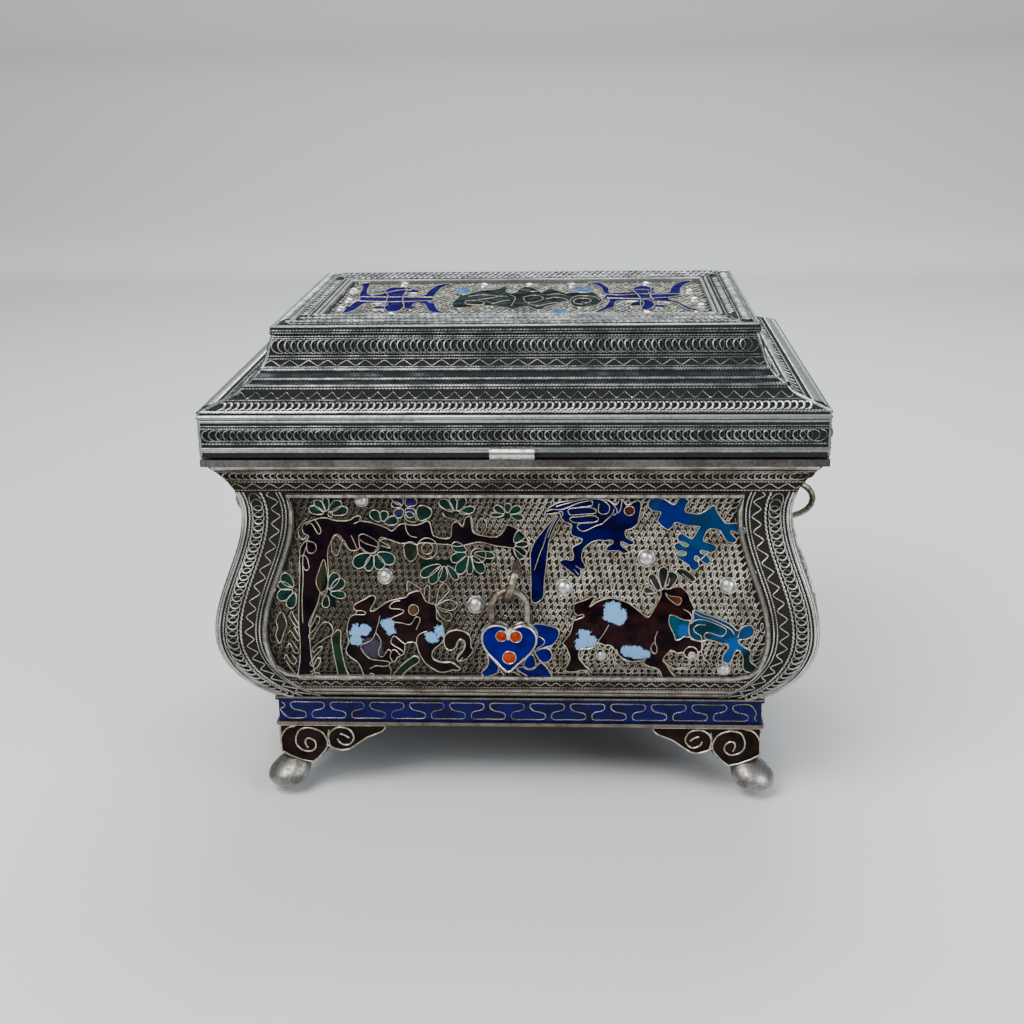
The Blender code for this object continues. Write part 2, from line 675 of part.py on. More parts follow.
def heart_point(angle):
    """Point of a heart outline, within one unit of its middle each way."""
    x = math.sin(angle) ** 3
    y = (
        13.0 * math.cos(angle)
        - 5.0 * math.cos(2.0 * angle)
        - 2.0 * math.cos(3.0 * angle)
        - math.cos(4.0 * angle)
    )
    return x, (y + 2.5) / 14.5


def heart_top(across):
    """Highest the heart stands within a shackle wire of a place across it."""
    highest = 0.0
    for i in range(HEART_POINTS):
        x, y = heart_point(2.0 * math.pi * i / HEART_POINTS)
        if abs(x * HEART_HALF_WIDTH - across) < 2.0 * SHACKLE_WIRE_RADIUS:
            highest = max(highest, y * HEART_HALF_HEIGHT)
    return highest


def build_padlock():
    """Heart-shaped lock body and a shackle that passes through the staple."""
    edge = 1.0 - HEART_BEVEL / HEART_HALF_WIDTH
    rings = []
    for out, scale in (
        (-HEART_HALF_THICKNESS, edge),
        (HEART_BEVEL - HEART_HALF_THICKNESS, 1.0),
        (HEART_HALF_THICKNESS - HEART_BEVEL, 1.0),
        (HEART_HALF_THICKNESS, edge),
    ):
        level = []
        for i in range(HEART_POINTS):
            x, y = heart_point(2.0 * math.pi * i / HEART_POINTS)
            level.append(
                on_padlock(x * scale * HEART_HALF_WIDTH, out, y * scale * HEART_HALF_HEIGHT)
            )
        rings.append(level)
    loft("padlock_heart", rings, False)
    foot = heart_top(SHACKLE_RADIUS) + SEAM
    path = [on_padlock(-SHACKLE_RADIUS, 0.0, foot)]
    for i in range(LOOP_STEPS + 1):
        angle = math.pi - math.pi * i / LOOP_STEPS
        path.append(
            on_padlock(
                SHACKLE_RADIUS * math.cos(angle),
                0.0,
                SHACKLE_RISE + SHACKLE_RADIUS * math.sin(angle),
            )
        )
    path.append(on_padlock(SHACKLE_RADIUS, 0.0, foot))
    facing = on_padlock(0.0, 1.0, 0.0) - on_padlock(0.0, 0.0, 0.0)
    tube("padlock_shackle", path, [facing] * len(path), SHACKLE_WIRE_RADIUS, LOOP_SIDES)


def build_lid():
    """Hollow stepped lid, open below."""
    band_top = LID_BOTTOM_Z + LID_BAND_HEIGHT
    cove = [
        (
            LID_TOP_INSET * run / 100.0,
            band_top + (LID_HEIGHT - LID_BAND_HEIGHT) * rise / 100.0,
        )
        for run, rise in LID_COVE
    ]
    outer = [band_ring(0.0, LID_BOTTOM_Z)] + [band_ring(inset, z) for inset, z in cove]
    inner = [band_ring(inset + LID_WALL, z - LID_ROOF) for inset, z in reversed(cove)]
    mouth = band_ring(LID_WALL, LID_BOTTOM_Z)
    loft("lid_shell", [*reversed(outer), mouth, *reversed(inner)], False)


def build_top():
    """Frame on the lid and the sunk panel inside it."""
    outer_low = rectangle(TOP_HALF_X, -TOP_HALF_Y, TOP_HALF_Y, TOP_BOTTOM_Z)
    outer_high = rectangle(TOP_HALF_X, -TOP_HALF_Y, TOP_HALF_Y, TOP_Z)
    inner_high = rectangle(OPENING_HALF_X, OPENING_FRONT_Y, OPENING_BACK_Y, TOP_Z)
    inner_low = rectangle(OPENING_HALF_X, OPENING_FRONT_Y, OPENING_BACK_Y, TOP_BOTTOM_Z)
    loft("lid_top_frame", [outer_low, outer_high, inner_high, inner_low], True)
    half_x = OPENING_HALF_X - SEAM
    front = OPENING_FRONT_Y + SEAM
    back = OPENING_BACK_Y - SEAM
    loft(
        "lid_top_panel",
        [rectangle(half_x, front, back, TOP_BOTTOM_Z), rectangle(half_x, front, back, TOP_PANEL_Z)],
        False,
    )
    lid_figure("lid_bat_left", LID_BAT, 1.0)
    lid_figure("lid_bat_right", LID_BAT, -1.0)
    lid_figure("lid_swirl", LID_SWIRL, 1.0)


def knuckle(name, leaf, x_low, x_high):
    """Bored knuckle along X; a few points of its round outline are drawn out into a leaf."""
    bore = HINGE_PIN_RADIUS + PIN_CLEARANCE
    radius = bore + KNUCKLE_WALL
    rim = []
    hole = []
    for i in range(KNUCKLE_SIDES):
        angle = 2.0 * math.pi * i / KNUCKLE_SIDES
        y = math.cos(angle)
        z = math.sin(angle)
        hole.append((HINGE_Y + bore * y, HINGE_Z + bore * z))
        rim.append(leaf.get(i, (HINGE_Y + radius * y, HINGE_Z + radius * z)))
    rings = [
        [Vector((x, y, z)) for y, z in outline]
        for x, outline in ((x_low, rim), (x_high, rim), (x_high, hole), (x_low, hole))
    ]
    loft(name, rings, True, smooth=True)


def rod(name, x_low, x_high, y, z, radius):
    """Round bar along X."""
    path = [Vector((x_low, y, z)), Vector((x_high, y, z))]
    normals = [Vector((0.0, 0.0, 1.0))] * len(path)
    tube(name, path, normals, radius, KNUCKLE_SIDES)


def build_hinge():
    """Three knuckles with leaves at the back, and their pin."""
    leaf_in = BAND_HALF_Y + RIM_OVERHANG + LEAF_GAP
    leaf_out = leaf_in + LEAF_THICKNESS
    lid_high = LID_BOTTOM_Z + LID_LEAF_HEIGHT
    body_low = RIM_BOTTOM_Z + LEAF_EDGE
    inward = KNUCKLE_SIDES // 2
    lid_leaf = {
        inward - 1: (leaf_out, lid_high),
        inward: (leaf_in, lid_high),
        inward + 1: (leaf_in, LID_BOTTOM_Z),
    }
    body_leaf = {
        inward - 1: (leaf_in, RIM_TOP_Z),
        inward: (leaf_in, body_low),
        inward + 1: (leaf_out, body_low),
    }
    inner = CENTRE_KNUCKLE_HALF + KNUCKLE_GAP
    knuckle("hinge_knuckle_lid", lid_leaf, -CENTRE_KNUCKLE_HALF, CENTRE_KNUCKLE_HALF)
    knuckle("hinge_knuckle_left", body_leaf, -HINGE_HALF_LENGTH, -inner)
    knuckle("hinge_knuckle_right", body_leaf, inner, HINGE_HALF_LENGTH)
    rod("hinge_pin", -HINGE_HALF_LENGTH, HINGE_HALF_LENGTH, HINGE_Y, HINGE_Z, HINGE_PIN_RADIUS)


def build_hasp_knuckle():
    """Short closed tube at the lid's front edge, where the hasp hung."""
    y = -(BAND_HALF_Y + WALL_GAP + HASP_RADIUS)
    z = LID_BOTTOM_Z + HASP_RADIUS
    rod("hasp_knuckle", HASP_X - HASP_HALF_LENGTH, HASP_X + HASP_HALF_LENGTH, y, z, HASP_RADIUS)


def frame_path(side):
    """Closed path round a side panel, rounded at its lower corners."""
    half = SIDES[side][0]
    edge = []
    for i in range(FRAME_CORNER_STEPS + 1):
        angle = math.pi / 2.0 * i / FRAME_CORNER_STEPS
        z = FRAME_BOTTOM_Z + FRAME_CORNER * (1.0 - math.cos(angle))
        wide = half - body_inset(FRAME_BOTTOM_Z + FRAME_CORNER) - FRAME_MARGIN
        edge.append((wide - FRAME_CORNER * (1.0 - math.sin(angle)), z))
    start = FRAME_BOTTOM_Z + FRAME_CORNER
    for i in range(1, FRAME_STEPS + 1):
        z = start + (FRAME_TOP_Z - start) * i / FRAME_STEPS
        edge.append((half - body_inset(z) - FRAME_MARGIN, z))
    return edge + [(-across, z) for across, z in reversed(edge)]


def build_panel_frames():
    """Rope wire round the panel of each side."""
    lift = FRAME_RADIUS + FIGURE_GAP
    for side in SIDES:
        points = [on_side(side, across, z, lift) for across, z in frame_path(side)]
        facing = Matrix.Rotation(SIDES[side][2], 3, "Z") @ Vector((0.0, -1.0, 0.0))
        normals = [facing] * len(points)
        tube("panel_frame_" + side, points, normals, FRAME_RADIUS, FRAME_SIDES, closed=True)


def build_wall_figures():
    """Enamel figures of the front and a rosette on each other side."""
    for name, outline, layer in (
        ("tree_trunk", TREE_TRUNK, 0), ("tree_branch", TREE_BRANCH, 0), ("fawn", FAWN, 0),
        ("stag", STAG, 0), ("antlers", ANTLERS, 1), ("bird", BIRD, 0),
        ("bird_tail", BIRD_TAIL, 1), ("twig", TWIG, 0), ("lizard", LIZARD, 0),
        ("flower", FLOWER, 0), ("grass_long", LONG_BLADE, 0), ("grass_short", SHORT_BLADE, 0),
    ):
        points = [on_panel(x, y) for x, y in rounded(outline, FIGURE_ROUNDING_STEPS)]
        wall_figure(name, points, "front", layer)
    for name, (across, up, size, first, sweep, count) in FOLIAGE.items():
        wide = FOLIAGE_ROUNDNESS * size
        outline = petals((across, up), wide, size, first, sweep, count)
        wall_figure(name, [on_panel(x, y) for x, y in outline], "front", 1)
    height = FRAME_TOP_Z - FRAME_BOTTOM_Z
    for side, (up, size) in (("back", BACK_ROSETTE), ("left", SIDE_ROSETTE), ("right", SIDE_ROSETTE)):
        radius = height * size / 100.0
        outline = petals((0.0, panel_height(up)), radius, radius, 0.0, 360.0, ROSETTE_PETALS)
        wall_figure("rosette_" + side, outline, side, 0)


def main():
    """Clear the scene and build every piece."""
    for part in list(bpy.data.objects):
        bpy.data.objects.remove(part, do_unlink=True)
    build_body()
    build_rim()
    build_plinth()
    build_feet()
    build_side_loops()
    build_staple()
    build_padlock()
    build_lid()
    build_top()
    build_hasp_knuckle()
    build_hinge()
    build_panel_frames()
    build_wall_figures()


main()
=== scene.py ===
"""Looks of a small casket of silver wirework and enamel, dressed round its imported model.

Lengths are in millimetres here and become metres where a mesh is made. X runs along the
front, Y from the front to the back, and Z up from the floor.
"""

import logging
import math
from dataclasses import dataclass, field
from enum import Enum
from typing import Callable, Sequence

import bmesh
import bpy
import numpy as np
from mathutils import Matrix, Vector
from mathutils.geometry import delaunay_2d_cdt


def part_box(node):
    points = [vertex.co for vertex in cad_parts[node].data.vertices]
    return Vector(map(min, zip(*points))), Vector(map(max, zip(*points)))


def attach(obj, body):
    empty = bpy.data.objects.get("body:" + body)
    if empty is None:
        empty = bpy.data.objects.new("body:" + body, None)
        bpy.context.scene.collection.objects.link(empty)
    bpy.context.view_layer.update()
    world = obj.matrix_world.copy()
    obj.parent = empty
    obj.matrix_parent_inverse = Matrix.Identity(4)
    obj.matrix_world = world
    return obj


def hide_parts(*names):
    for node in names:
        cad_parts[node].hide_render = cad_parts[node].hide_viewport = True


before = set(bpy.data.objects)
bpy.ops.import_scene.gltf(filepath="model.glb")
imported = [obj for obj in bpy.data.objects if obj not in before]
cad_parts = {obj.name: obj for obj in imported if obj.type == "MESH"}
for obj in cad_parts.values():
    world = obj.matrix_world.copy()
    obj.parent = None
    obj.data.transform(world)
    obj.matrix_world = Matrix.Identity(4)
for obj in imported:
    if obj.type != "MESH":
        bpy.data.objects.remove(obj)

log = logging.getLogger("casket")

MM = 0.001
WALL_STEP = 0.36
WIRE_STEP = 0.35
THREAD_SINK = 0.05
SHARPNESS = 0.90
Points = np.ndarray
Colour = tuple[float, float, float]


class Body(Enum):
    """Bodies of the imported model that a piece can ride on."""

    CASKET = "casket"
    LID = "lid"


class Slot(Enum):
    """Material slots of the record."""

    BODY_SILVER = "body_silver"
    LID_SILVER = "lid_silver"
    BRIGHT_SILVER = "bright_silver"
    COBALT = "cobalt_enamel"
    AUBERGINE = "aubergine_enamel"
    TURQUOISE = "turquoise_enamel"
    GREEN = "green_enamel"
    GREY_GREEN = "grey_green_enamel"


class Plane(Enum):
    """Axes in which the place of a patch of colour is given."""

    FRONT = (1.0, 0.0, 1.0)
    TOP = (1.0, 1.0, 0.0)


# ---- numbers and curves


def unit(vectors: Points) -> Points:
    """Vectors at a length of one."""
    return vectors / np.maximum(np.linalg.norm(vectors, axis=-1, keepdims=True), 1e-9)


def curve_through(points: Sequence, parts: int, closed: bool = False) -> Points:
    """Pass a smooth curve through points.

    Args:
        points: the places it passes through, of two or three numbers each.
        parts: how many short lines lie between one place and the next.
        closed: whether it returns to its first place.

    Returns:
        The places along the curve, one row each.
    """
    knots = np.asarray(points, float)
    if closed:
        knots = np.concatenate([knots[-1:], knots, knots[:2]])
    else:
        first = 2.0 * knots[0] - knots[1]
        last = 2.0 * knots[-1] - knots[-2]
        knots = np.concatenate([first[None], knots, last[None]])
    a, b, c, d = knots[:-3], knots[1:-2], knots[2:-1], knots[3:]
    rows = []
    for t in np.arange(parts) / parts:
        rows.append(
            0.5 * (
                2.0 * b + (c - a) * t
                + (2.0 * a - 5.0 * b + 4.0 * c - d) * t ** 2
                + (3.0 * b - a - 3.0 * c + d) * t ** 3
            )
        )
    curve = np.stack(rows, 1).reshape(-1, knots.shape[1])
    return curve if closed else np.concatenate([curve, knots[-2:-1]])


def evenly(path: Points, step: float, closed: bool = False) -> Points:
    """Space the points of a path evenly.

    Args:
        path: rows of numbers, the first two or three of which are a place.
        step: about how far apart the new points lie.
        closed: whether the path returns to its start.

    Returns:
        The new rows, without a second copy of the start if it is closed.
    """
    line = np.concatenate([path, path[:1]]) if closed else path
    places = line[:, :3]
    run = np.concatenate([[0.0], np.cumsum(np.linalg.norm(np.diff(places, axis=0), axis=1))])
    count = max(3, int(round(run[-1] / step)))
    marks = np.linspace(0.0, run[-1], count + 1)
    if closed:
        marks = marks[:-1]
    return np.stack([np.interp(marks, run, line[:, i]) for i in range(line.shape[1])], 1)


def circle(centre: Points, radius: float, points: int) -> Points:
    """Places round a flat circle."""
    turn = np.linspace(0.0, 2.0 * math.pi, points + 1)[:-1]
    return centre + radius * np.stack([np.cos(turn), np.sin(turn)], 1)


def turning(turns: int, steps: int) -> Points:
    """Angles of so many full turns, with so many steps in each."""
    return np.linspace(0.0, 2.0 * math.pi * turns, turns * steps + 1)


# ---- meshes


@dataclass(frozen=True)
class Cut:
    """Cross-section of a wire that lies on something."""

    half_width: float
    height: float
    points: int = 3
    sink: float = 0.03
    bead: float = 0.0
    lean: float = 0.0

    def beaded(self, path: Points, normals: Points, closed: bool) -> tuple[Points, Points, Points]:
        """Break a path into beads.

        Args:
            path: places along the wire.
            normals: the way out at each place.
            closed: whether the wire returns to its start.

        Returns:
            New places, new normals and how full the wire is at each.
        """
        rows = evenly(np.concatenate([path, normals], 1), self.bead / 2.0, closed)
        if closed and len(rows) % 2:
            rows = rows[:-1]
        full = np.where(np.arange(len(rows)) % 2, 0.42, 1.0)
        return rows[:, :3], unit(rows[:, 3:]), full


class Mesher:
    """Gathers the points and faces of one piece, in millimetres."""

    def __init__(self) -> None:
        """Start with nothing."""
        self.points: list[Points] = []
        self.rise: list[Points] = []
        self.quads: list[Points] = []
        self.triangles: list[Points] = []
        self.count = 0

    def add(self, points: Points, rise: Points | float) -> int:
        """Add points and how far they stand out, and return the number of the first.

        Args:
            points: places in millimetres.
            rise: how far each stands out, from 0 to 1.

        Returns:
            Number of the first new point.
        """
        first = self.count
        self.points.append(points.reshape(-1, 3))
        self.rise.append(np.broadcast_to(rise, points.shape[:-1]).reshape(-1))
        self.count += len(self.points[-1])
        return first

    def grid(self, rows: Points, rise: Points | float, closed: bool = False, ring: bool = False) -> None:
        """Add a net of quads.

        Args:
            rows: places, by row and by place in the row.
            rise: how far each place stands out, from 0 to 1, in the same order.
            closed: whether the last row joins the first.
            ring: whether each row joins its own start.
        """
        length, width = rows.shape[:2]
        a = np.arange(length if closed else length - 1)[:, None]
        b = np.arange(width if ring else width - 1)[None, :]
        a2, b2 = (a + 1) % length, (b + 1) % width
        corners = np.stack(np.broadcast_arrays(
            a * width + b, a * width + b2, a2 * width + b2, a2 * width + b
        ), -1)
        self.quads.append(corners.reshape(-1, 4) + self.add(rows, rise))

    def sheet(self, points: Points, triangles: Points) -> None:
        """Add a sheet of triangles that stands out fully."""
        self.triangles.append(triangles + self.add(points, 1.0))

    def wire(
        self, path: Points, normals: Points, cut: Cut, closed: bool = False, full: Points | None = None
    ) -> None:
        """Lay a half-round wire along a path.

        Args:
            path: places along its foot.
            normals: the way out at each place.
            cut: its cross-section.
            closed: whether it returns to its start.
            full: how thick it is at each place, as a share of its cross-section.
        """
        if cut.bead:
            path, normals, full = cut.beaded(path, normals, closed)
        if full is None:
            full = np.ones(len(path))
        if closed:
            along = np.roll(path, -1, 0) - np.roll(path, 1, 0)
        else:
            along = np.gradient(path, axis=0)
        along = unit(along)
        side = unit(np.cross(normals, along))
        angle = np.linspace(0.0, math.pi, cut.points)
        wide = cut.half_width * np.cos(angle)[None, :] * full[:, None]
        high = cut.height * np.sin(angle)[None, :] * full[:, None]
        high[:, 0] = high[:, -1] = -cut.sink
        slant = cut.lean * np.cos(angle)[None, :] * np.ones_like(wide)
        rows = (
            path[:, None, :] + side[:, None, :] * wide[..., None]
            + normals[:, None, :] * high[..., None] + along[:, None, :] * slant[..., None]
        )
        rise = np.sin(angle)[None, :] * full[:, None]
        self.grid(rows[:, ::-1], rise[:, ::-1], closed)

    def dome(self, centre: Points, normal: Points, radius: float, height: float) -> None:
        """Add a low dome.

        Args:
            centre: middle of its foot.
            normal: the way out.
            radius: radius of its foot.
            height: how far it stands out.
        """
        across = unit(np.cross(normal, np.array([0.37, 0.11, 0.92])))
        up = np.cross(normal, across)
        turn = np.linspace(0.0, 2.0 * math.pi, 21)[:-1]
        ring = np.cos(turn)[:, None] * across + np.sin(turn)[:, None] * up
        rise = np.sin(np.linspace(0.0, math.pi / 2.0, 7))
        rows = np.stack([
            centre + radius * math.sqrt(max(0.0, 1.0 - r * r)) * ring + height * r * normal
            for r in rise
        ])
        self.grid(rows, rise[:, None], False, True)

    def piece(self, name: str, finish: bpy.types.Material, body: Body, slot: Slot) -> bpy.types.Object:
        """Make the object and hang it on its body.

        Args:
            name: name of the piece.
            finish: its material.
            body: the body it rides on.
            slot: the record's slot its finish comes from; not used.

        Returns:
            The object.
        """
        points = np.concatenate(self.points) * MM
        fours = np.concatenate(self.quads) if self.quads else np.zeros((0, 4), int)
        threes = np.concatenate(self.triangles) if self.triangles else np.zeros((0, 3), int)
        corners = np.concatenate([fours.ravel(), threes.ravel()]).astype(np.int32)
        starts = np.concatenate([np.arange(len(fours)) * 4, fours.size + np.arange(len(threes)) * 3])
        mesh = bpy.data.meshes.new(name)
        mesh.vertices.add(len(points))
        mesh.vertices.foreach_set("co", points.astype(np.float32).ravel())
        mesh.loops.add(len(corners))
        mesh.loops.foreach_set("vertex_index", corners)
        mesh.polygons.add(len(starts))
        mesh.polygons.foreach_set("loop_start", starts.astype(np.int32))
        mesh.polygons.foreach_set("use_smooth", np.ones(len(starts), bool))
        mesh.update(calc_edges=True)
        mesh.validate()
        rise = mesh.attributes.new("rise", "FLOAT", "POINT")
        rise.data.foreach_set("value", np.concatenate(self.rise).astype(np.float32))
        mesh.materials.append(finish)
        made = bpy.data.objects.new(name, mesh)
        bpy.context.scene.collection.objects.link(made)
        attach(made, body.value)
        log.info("%s: %d faces", name, len(starts))
        return made


def filled(outline: Points, step: float) -> tuple[Points, Points, Points]:
    """Fill a closed flat outline with triangles.

    Args:
        outline: places of two numbers each.
        step: about how far apart the places inside it lie.

    Returns:
        The places, the triangles, and how far each place lies from the outline.
    """
    following = np.roll(outline, -1, 0)
    if np.sum(outline[:, 0] * following[:, 1] - following[:, 0] * outline[:, 1]) < 0.0:
        outline, following = outline[::-1], np.roll(outline[::-1], -1, 0)
    low, high = outline.min(0), outline.max(0)
    x, y = np.meshgrid(np.arange(low[0], high[0], step), np.arange(low[1], high[1], step))
    spots = np.stack([x.ravel(), y.ravel()], 1)
    a, b = outline[None], following[None]
    p = spots[:, None]
    over = (a[..., 1] > p[..., 1]) != (b[..., 1] > p[..., 1])
    rise = np.where(b[..., 1] == a[..., 1], 1e-9, b[..., 1] - a[..., 1])
    cross = (b[..., 0] - a[..., 0]) * (p[..., 1] - a[..., 1]) / rise + a[..., 0]
    inside = np.sum(over & (p[..., 0] < cross), 1) % 2 == 1
    gap = np.linalg.norm(p - a, axis=2).min(1)
    spots = np.concatenate([outline, spots[inside & (gap > 0.45 * step)]])
    corners, _, faces, *_ = delaunay_2d_cdt(
        [Vector(s) for s in spots], [], [list(range(len(outline)))], 1, 1e-5
    )
    places = np.array([tuple(c) for c in corners])
    distance = np.linalg.norm(places[:, None] - outline[None], axis=2).min(1)
    return places, np.array([f for f in faces if len(f) == 3], int), distance


# ---- faces of the box, unrolled


@dataclass(frozen=True)
class Skin:
    """One face unrolled flat: the knots of its profile, and where its two ends lie."""

    turn: float
    reach: Points
    height: Points
    low: Points
    high: Points

    def runs(self) -> Points:
        """Length of the profile up to each knot."""
        steps = np.hypot(np.diff(self.reach), np.diff(self.height))
        return np.concatenate([[0.0], np.cumsum(steps)])

    def run_at(self, height: float | Points) -> float | Points:
        """Length of the profile up to a height."""
        return np.interp(height, self.height, self.runs())

    def ends(self, run: float | Points) -> tuple[Points, Points]:
        """Where the face begins and ends across, at a length up its profile."""
        runs = self.runs()
        return np.interp(run, runs, self.low), np.interp(run, runs, self.high)

    def normals(self, run: Points) -> Points:
        """The way out of the face at lengths up its profile.

        Args:
            run: lengths up the profile.

        Returns:
            One direction a row, of length one.
        """
        slope = unit(np.stack([np.diff(self.height), -np.diff(self.reach)], 1))
        knots = unit(np.concatenate([slope[:1], slope[:-1] + slope[1:], slope[-1:]]))
        runs = self.runs()
        out = np.interp(run, runs, knots[:, 0])
        up = np.interp(run, runs, knots[:, 1])
        return unit(self.turned(np.stack([np.zeros_like(out), -out, up], -1)))

    def place(self, across: Points, run: Points, lift: float | Points = 0.0) -> Points:
        """Places in the box's own frame.

        Args:
            across: how far each lies along the face from its middle.
            run: how far up the profile.
            lift: how far off the face.

        Returns:
            The places, one row each.
        """
        across, run, lift = np.broadcast_arrays(across, run, lift)
        runs = self.runs()
        out = np.interp(run, runs, self.reach)
        up = np.interp(run, runs, self.height)
        flat = self.turned(np.stack([across, -out, up], -1))
        return flat + self.normals(run) * lift[..., None]

    def turned(self, points: Points) -> Points:
        """Points of the front face turned onto this one.

        Args:
            points: places or directions on the front.

        Returns:
            The same on this face.
        """
        c, s = math.cos(self.turn), math.sin(self.turn)
        x, y, z = points[..., 0], points[..., 1], points[..., 2]
        return np.stack([c * x - s * y, s * x + c * y, z], -1)


@dataclass(frozen=True)
class Track:
    """A strip of a face that a row of wirework fills."""

    skin: Skin
    length: float
    locate: Callable[[Points, Points], tuple[Points, Points]]

    def lay(
        self, mesher: Mesher, along: Points, across: Points, lift: Points | float, cut: Cut,
        full: Points | None = None,
    ) -> None:
        """Lay a wire in the strip.

        Args:
            mesher: where it is added.
            along: how far along the strip each point lies.
            across: how far from its middle line.
            lift: how far off the face.
            cut: the wire's cross-section.
            full: how thick it is at each point, as a share of its cross-section.
        """
        side, run = self.locate(along, across)
        mesher.wire(self.skin.place(side, run, lift), self.skin.normals(run), cut, full=full)


def level_track(skin: Skin, run: float, margin: float = 0.0) -> Track:
    """Strip that runs level along a face, from one mitre to the other.

    Args:
        skin: the face.
        run: how far up its profile.
        margin: what stays free at both ends.

    Returns:
        The strip.
    """
    low, high = skin.ends(run)
    start = float(low) + margin

    def locate(along: Points, across: Points) -> tuple[Points, Points]:
        """Across and up the face of places on the strip."""
        return start + along, run + across

    return Track(skin, float(high - low) - 2.0 * margin, locate)


def edge_track(skin: Skin, sign: int, distance: float, bottom: float, top: float) -> Track:
    """Strip that climbs a face beside one of its mitres.

    Args:
        skin: the face.
        sign: 1 for its right mitre and -1 for its left one.
        distance: how far in from the mitre.
        bottom: where it begins, up the profile.
        top: where it ends.

    Returns:
        The strip.
    """

    def locate(along: Points, across: Points) -> tuple[Points, Points]:
        """Across and up the face of places on the strip.

        Args:
            along: how far along the strip.
            across: how far off its middle.

        Returns:
            The two numbers of each place.
        """
        low, high = skin.ends(bottom + along)
        edge = high if sign > 0 else low
        return edge - sign * (distance + across), bottom + along

    return Track(skin, top - bottom, locate)


def line(mesher: Mesher, track: Track, cut: Cut, step: float = 2.0) -> None:
    """Straight wire down the middle of a strip.

    Args:
        mesher: mesh that takes the wire.
        track: the strip.
        cut: cross-section.
        step: about how far apart its points lie.
    """
    count = max(2, int(track.length / step))
    along = np.linspace(0.0, track.length, count + 1)
    track.lay(mesher, along, np.zeros_like(along), 0.0, cut)


def coil(mesher: Mesher, track: Track, half: float, pitch: float, reach: float, cut: Cut) -> None:
    """Flattened spring of wire that fills a strip, each turn lying over the last.

    Args:
        mesher: where it is added.
        track: the strip.
        half: half its height.
        pitch: length of one turn.
        reach: how far each turn leans over the next.
        cut: the wire's cross-section.
    """
    turns = max(1, round((track.length - 2.0 * reach) / pitch))
    angle = turning(turns, 14)
    gap = (track.length - 2.0 * reach) / turns
    along = reach + angle / (2.0 * math.pi) * gap - reach * np.sin(angle)
    lift = 0.45 * cut.height * (1.0 + np.sin(angle))
    track.lay(mesher, along, half * np.cos(angle), lift, cut, 0.82 + 0.26 * np.sin(angle))


def crescents(mesher: Mesher, track: Track, half: float, pitch: float, cut: Cut) -> None:
    """Row of flattened crescents, thick in the middle, each lying against the next.

    Args:
        mesher: where they are added.
        track: the strip.
        half: half the height of the row.
        pitch: how far one lies from the next.
        cut: the cross-section in the middle of a crescent.
    """
    angle = np.radians(np.linspace(112.0, -98.0, 13))
    full = 0.28 + 0.72 * np.sin(np.linspace(0.06 * math.pi, 0.96 * math.pi, 13))
    tail = np.maximum(0.0, -angle) ** 2
    count = max(1, int((track.length - 2.0 * half) / pitch))
    start = (track.length - (count - 1) * pitch) / 2.0
    for i in range(count):
        along = start + i * pitch + 0.58 * half * np.cos(angle) - 0.14 * half * tail
        side, run = track.locate(along, half * np.sin(angle))
        place = track.skin.place(side, run, 0.12 * (1.0 + np.cos(angle)))
        mesher.wire(place, track.skin.normals(run), cut, full=full)


def zigzag(mesher: Mesher, track: Track, half: float, pitch: float, cut: Cut) -> None:
    """Waved wire that fills a strip.

    Args:
        mesher: mesh that takes the wire.
        track: the strip.
        half: half the width of the wave.
        pitch: about how long one wave is.
        cut: cross-section.
    """
    angle = turning(max(1, round(track.length / pitch)), 8)
    wave = np.arcsin(SHARPNESS * np.sin(angle)) / math.asin(SHARPNESS)
    track.lay(mesher, angle / angle[-1] * track.length, half * wave, 0.0, cut)


# ---- shader maths


class Signal:
    """The value of a socket, for sums that add their own nodes."""

    def __init__(self, recipe: "Recipe", socket: bpy.types.NodeSocket) -> None:
        """Wrap a socket of a recipe's tree."""
        self.recipe = recipe
        self.socket = socket

    def _sum(self, operation: str, *values: "Signal | float") -> "Signal":
        """Add a Math node and return its result.

        Args:
            operation: what the node does.
            values: its numbers or signals.

        Returns:
            The result.
        """
        settings = {"operation": operation}
        node = self.recipe.node("ShaderNodeMath", settings, dict(enumerate(values)))
        return Signal(self.recipe, node.outputs[0])

    def __add__(self, other: "Signal | float") -> "Signal":
        """This plus another."""
        return self._sum("ADD", self, other)

    __radd__ = __add__

    def __sub__(self, other: "Signal | float") -> "Signal":
        """This less another."""
        return self._sum("SUBTRACT", self, other)

    def __rsub__(self, other: float) -> "Signal":
        """Another less this."""
        return self._sum("SUBTRACT", other, self)

    def __mul__(self, other: "Signal | float") -> "Signal":
        """This times another."""
        return self._sum("MULTIPLY", self, other)

    def most(self, other: "Signal | float") -> "Signal":
        """The larger of the two."""
        return self._sum("MAXIMUM", self, other)

    def step(self, low: float, high: float) -> "Signal":
        """Ease from 0 at one value to 1 at another.

        Args:
            low: value that gives 0.
            high: value that gives 1.

        Returns:
            The eased value.
        """
        node = self.recipe.node(
            "ShaderNodeMapRange",
            {"interpolation_type": "SMOOTHSTEP", "clamp": True},
            {"Value": self, "From Min": low, "From Max": high},
        )
        return Signal(self.recipe, node.outputs["Result"])


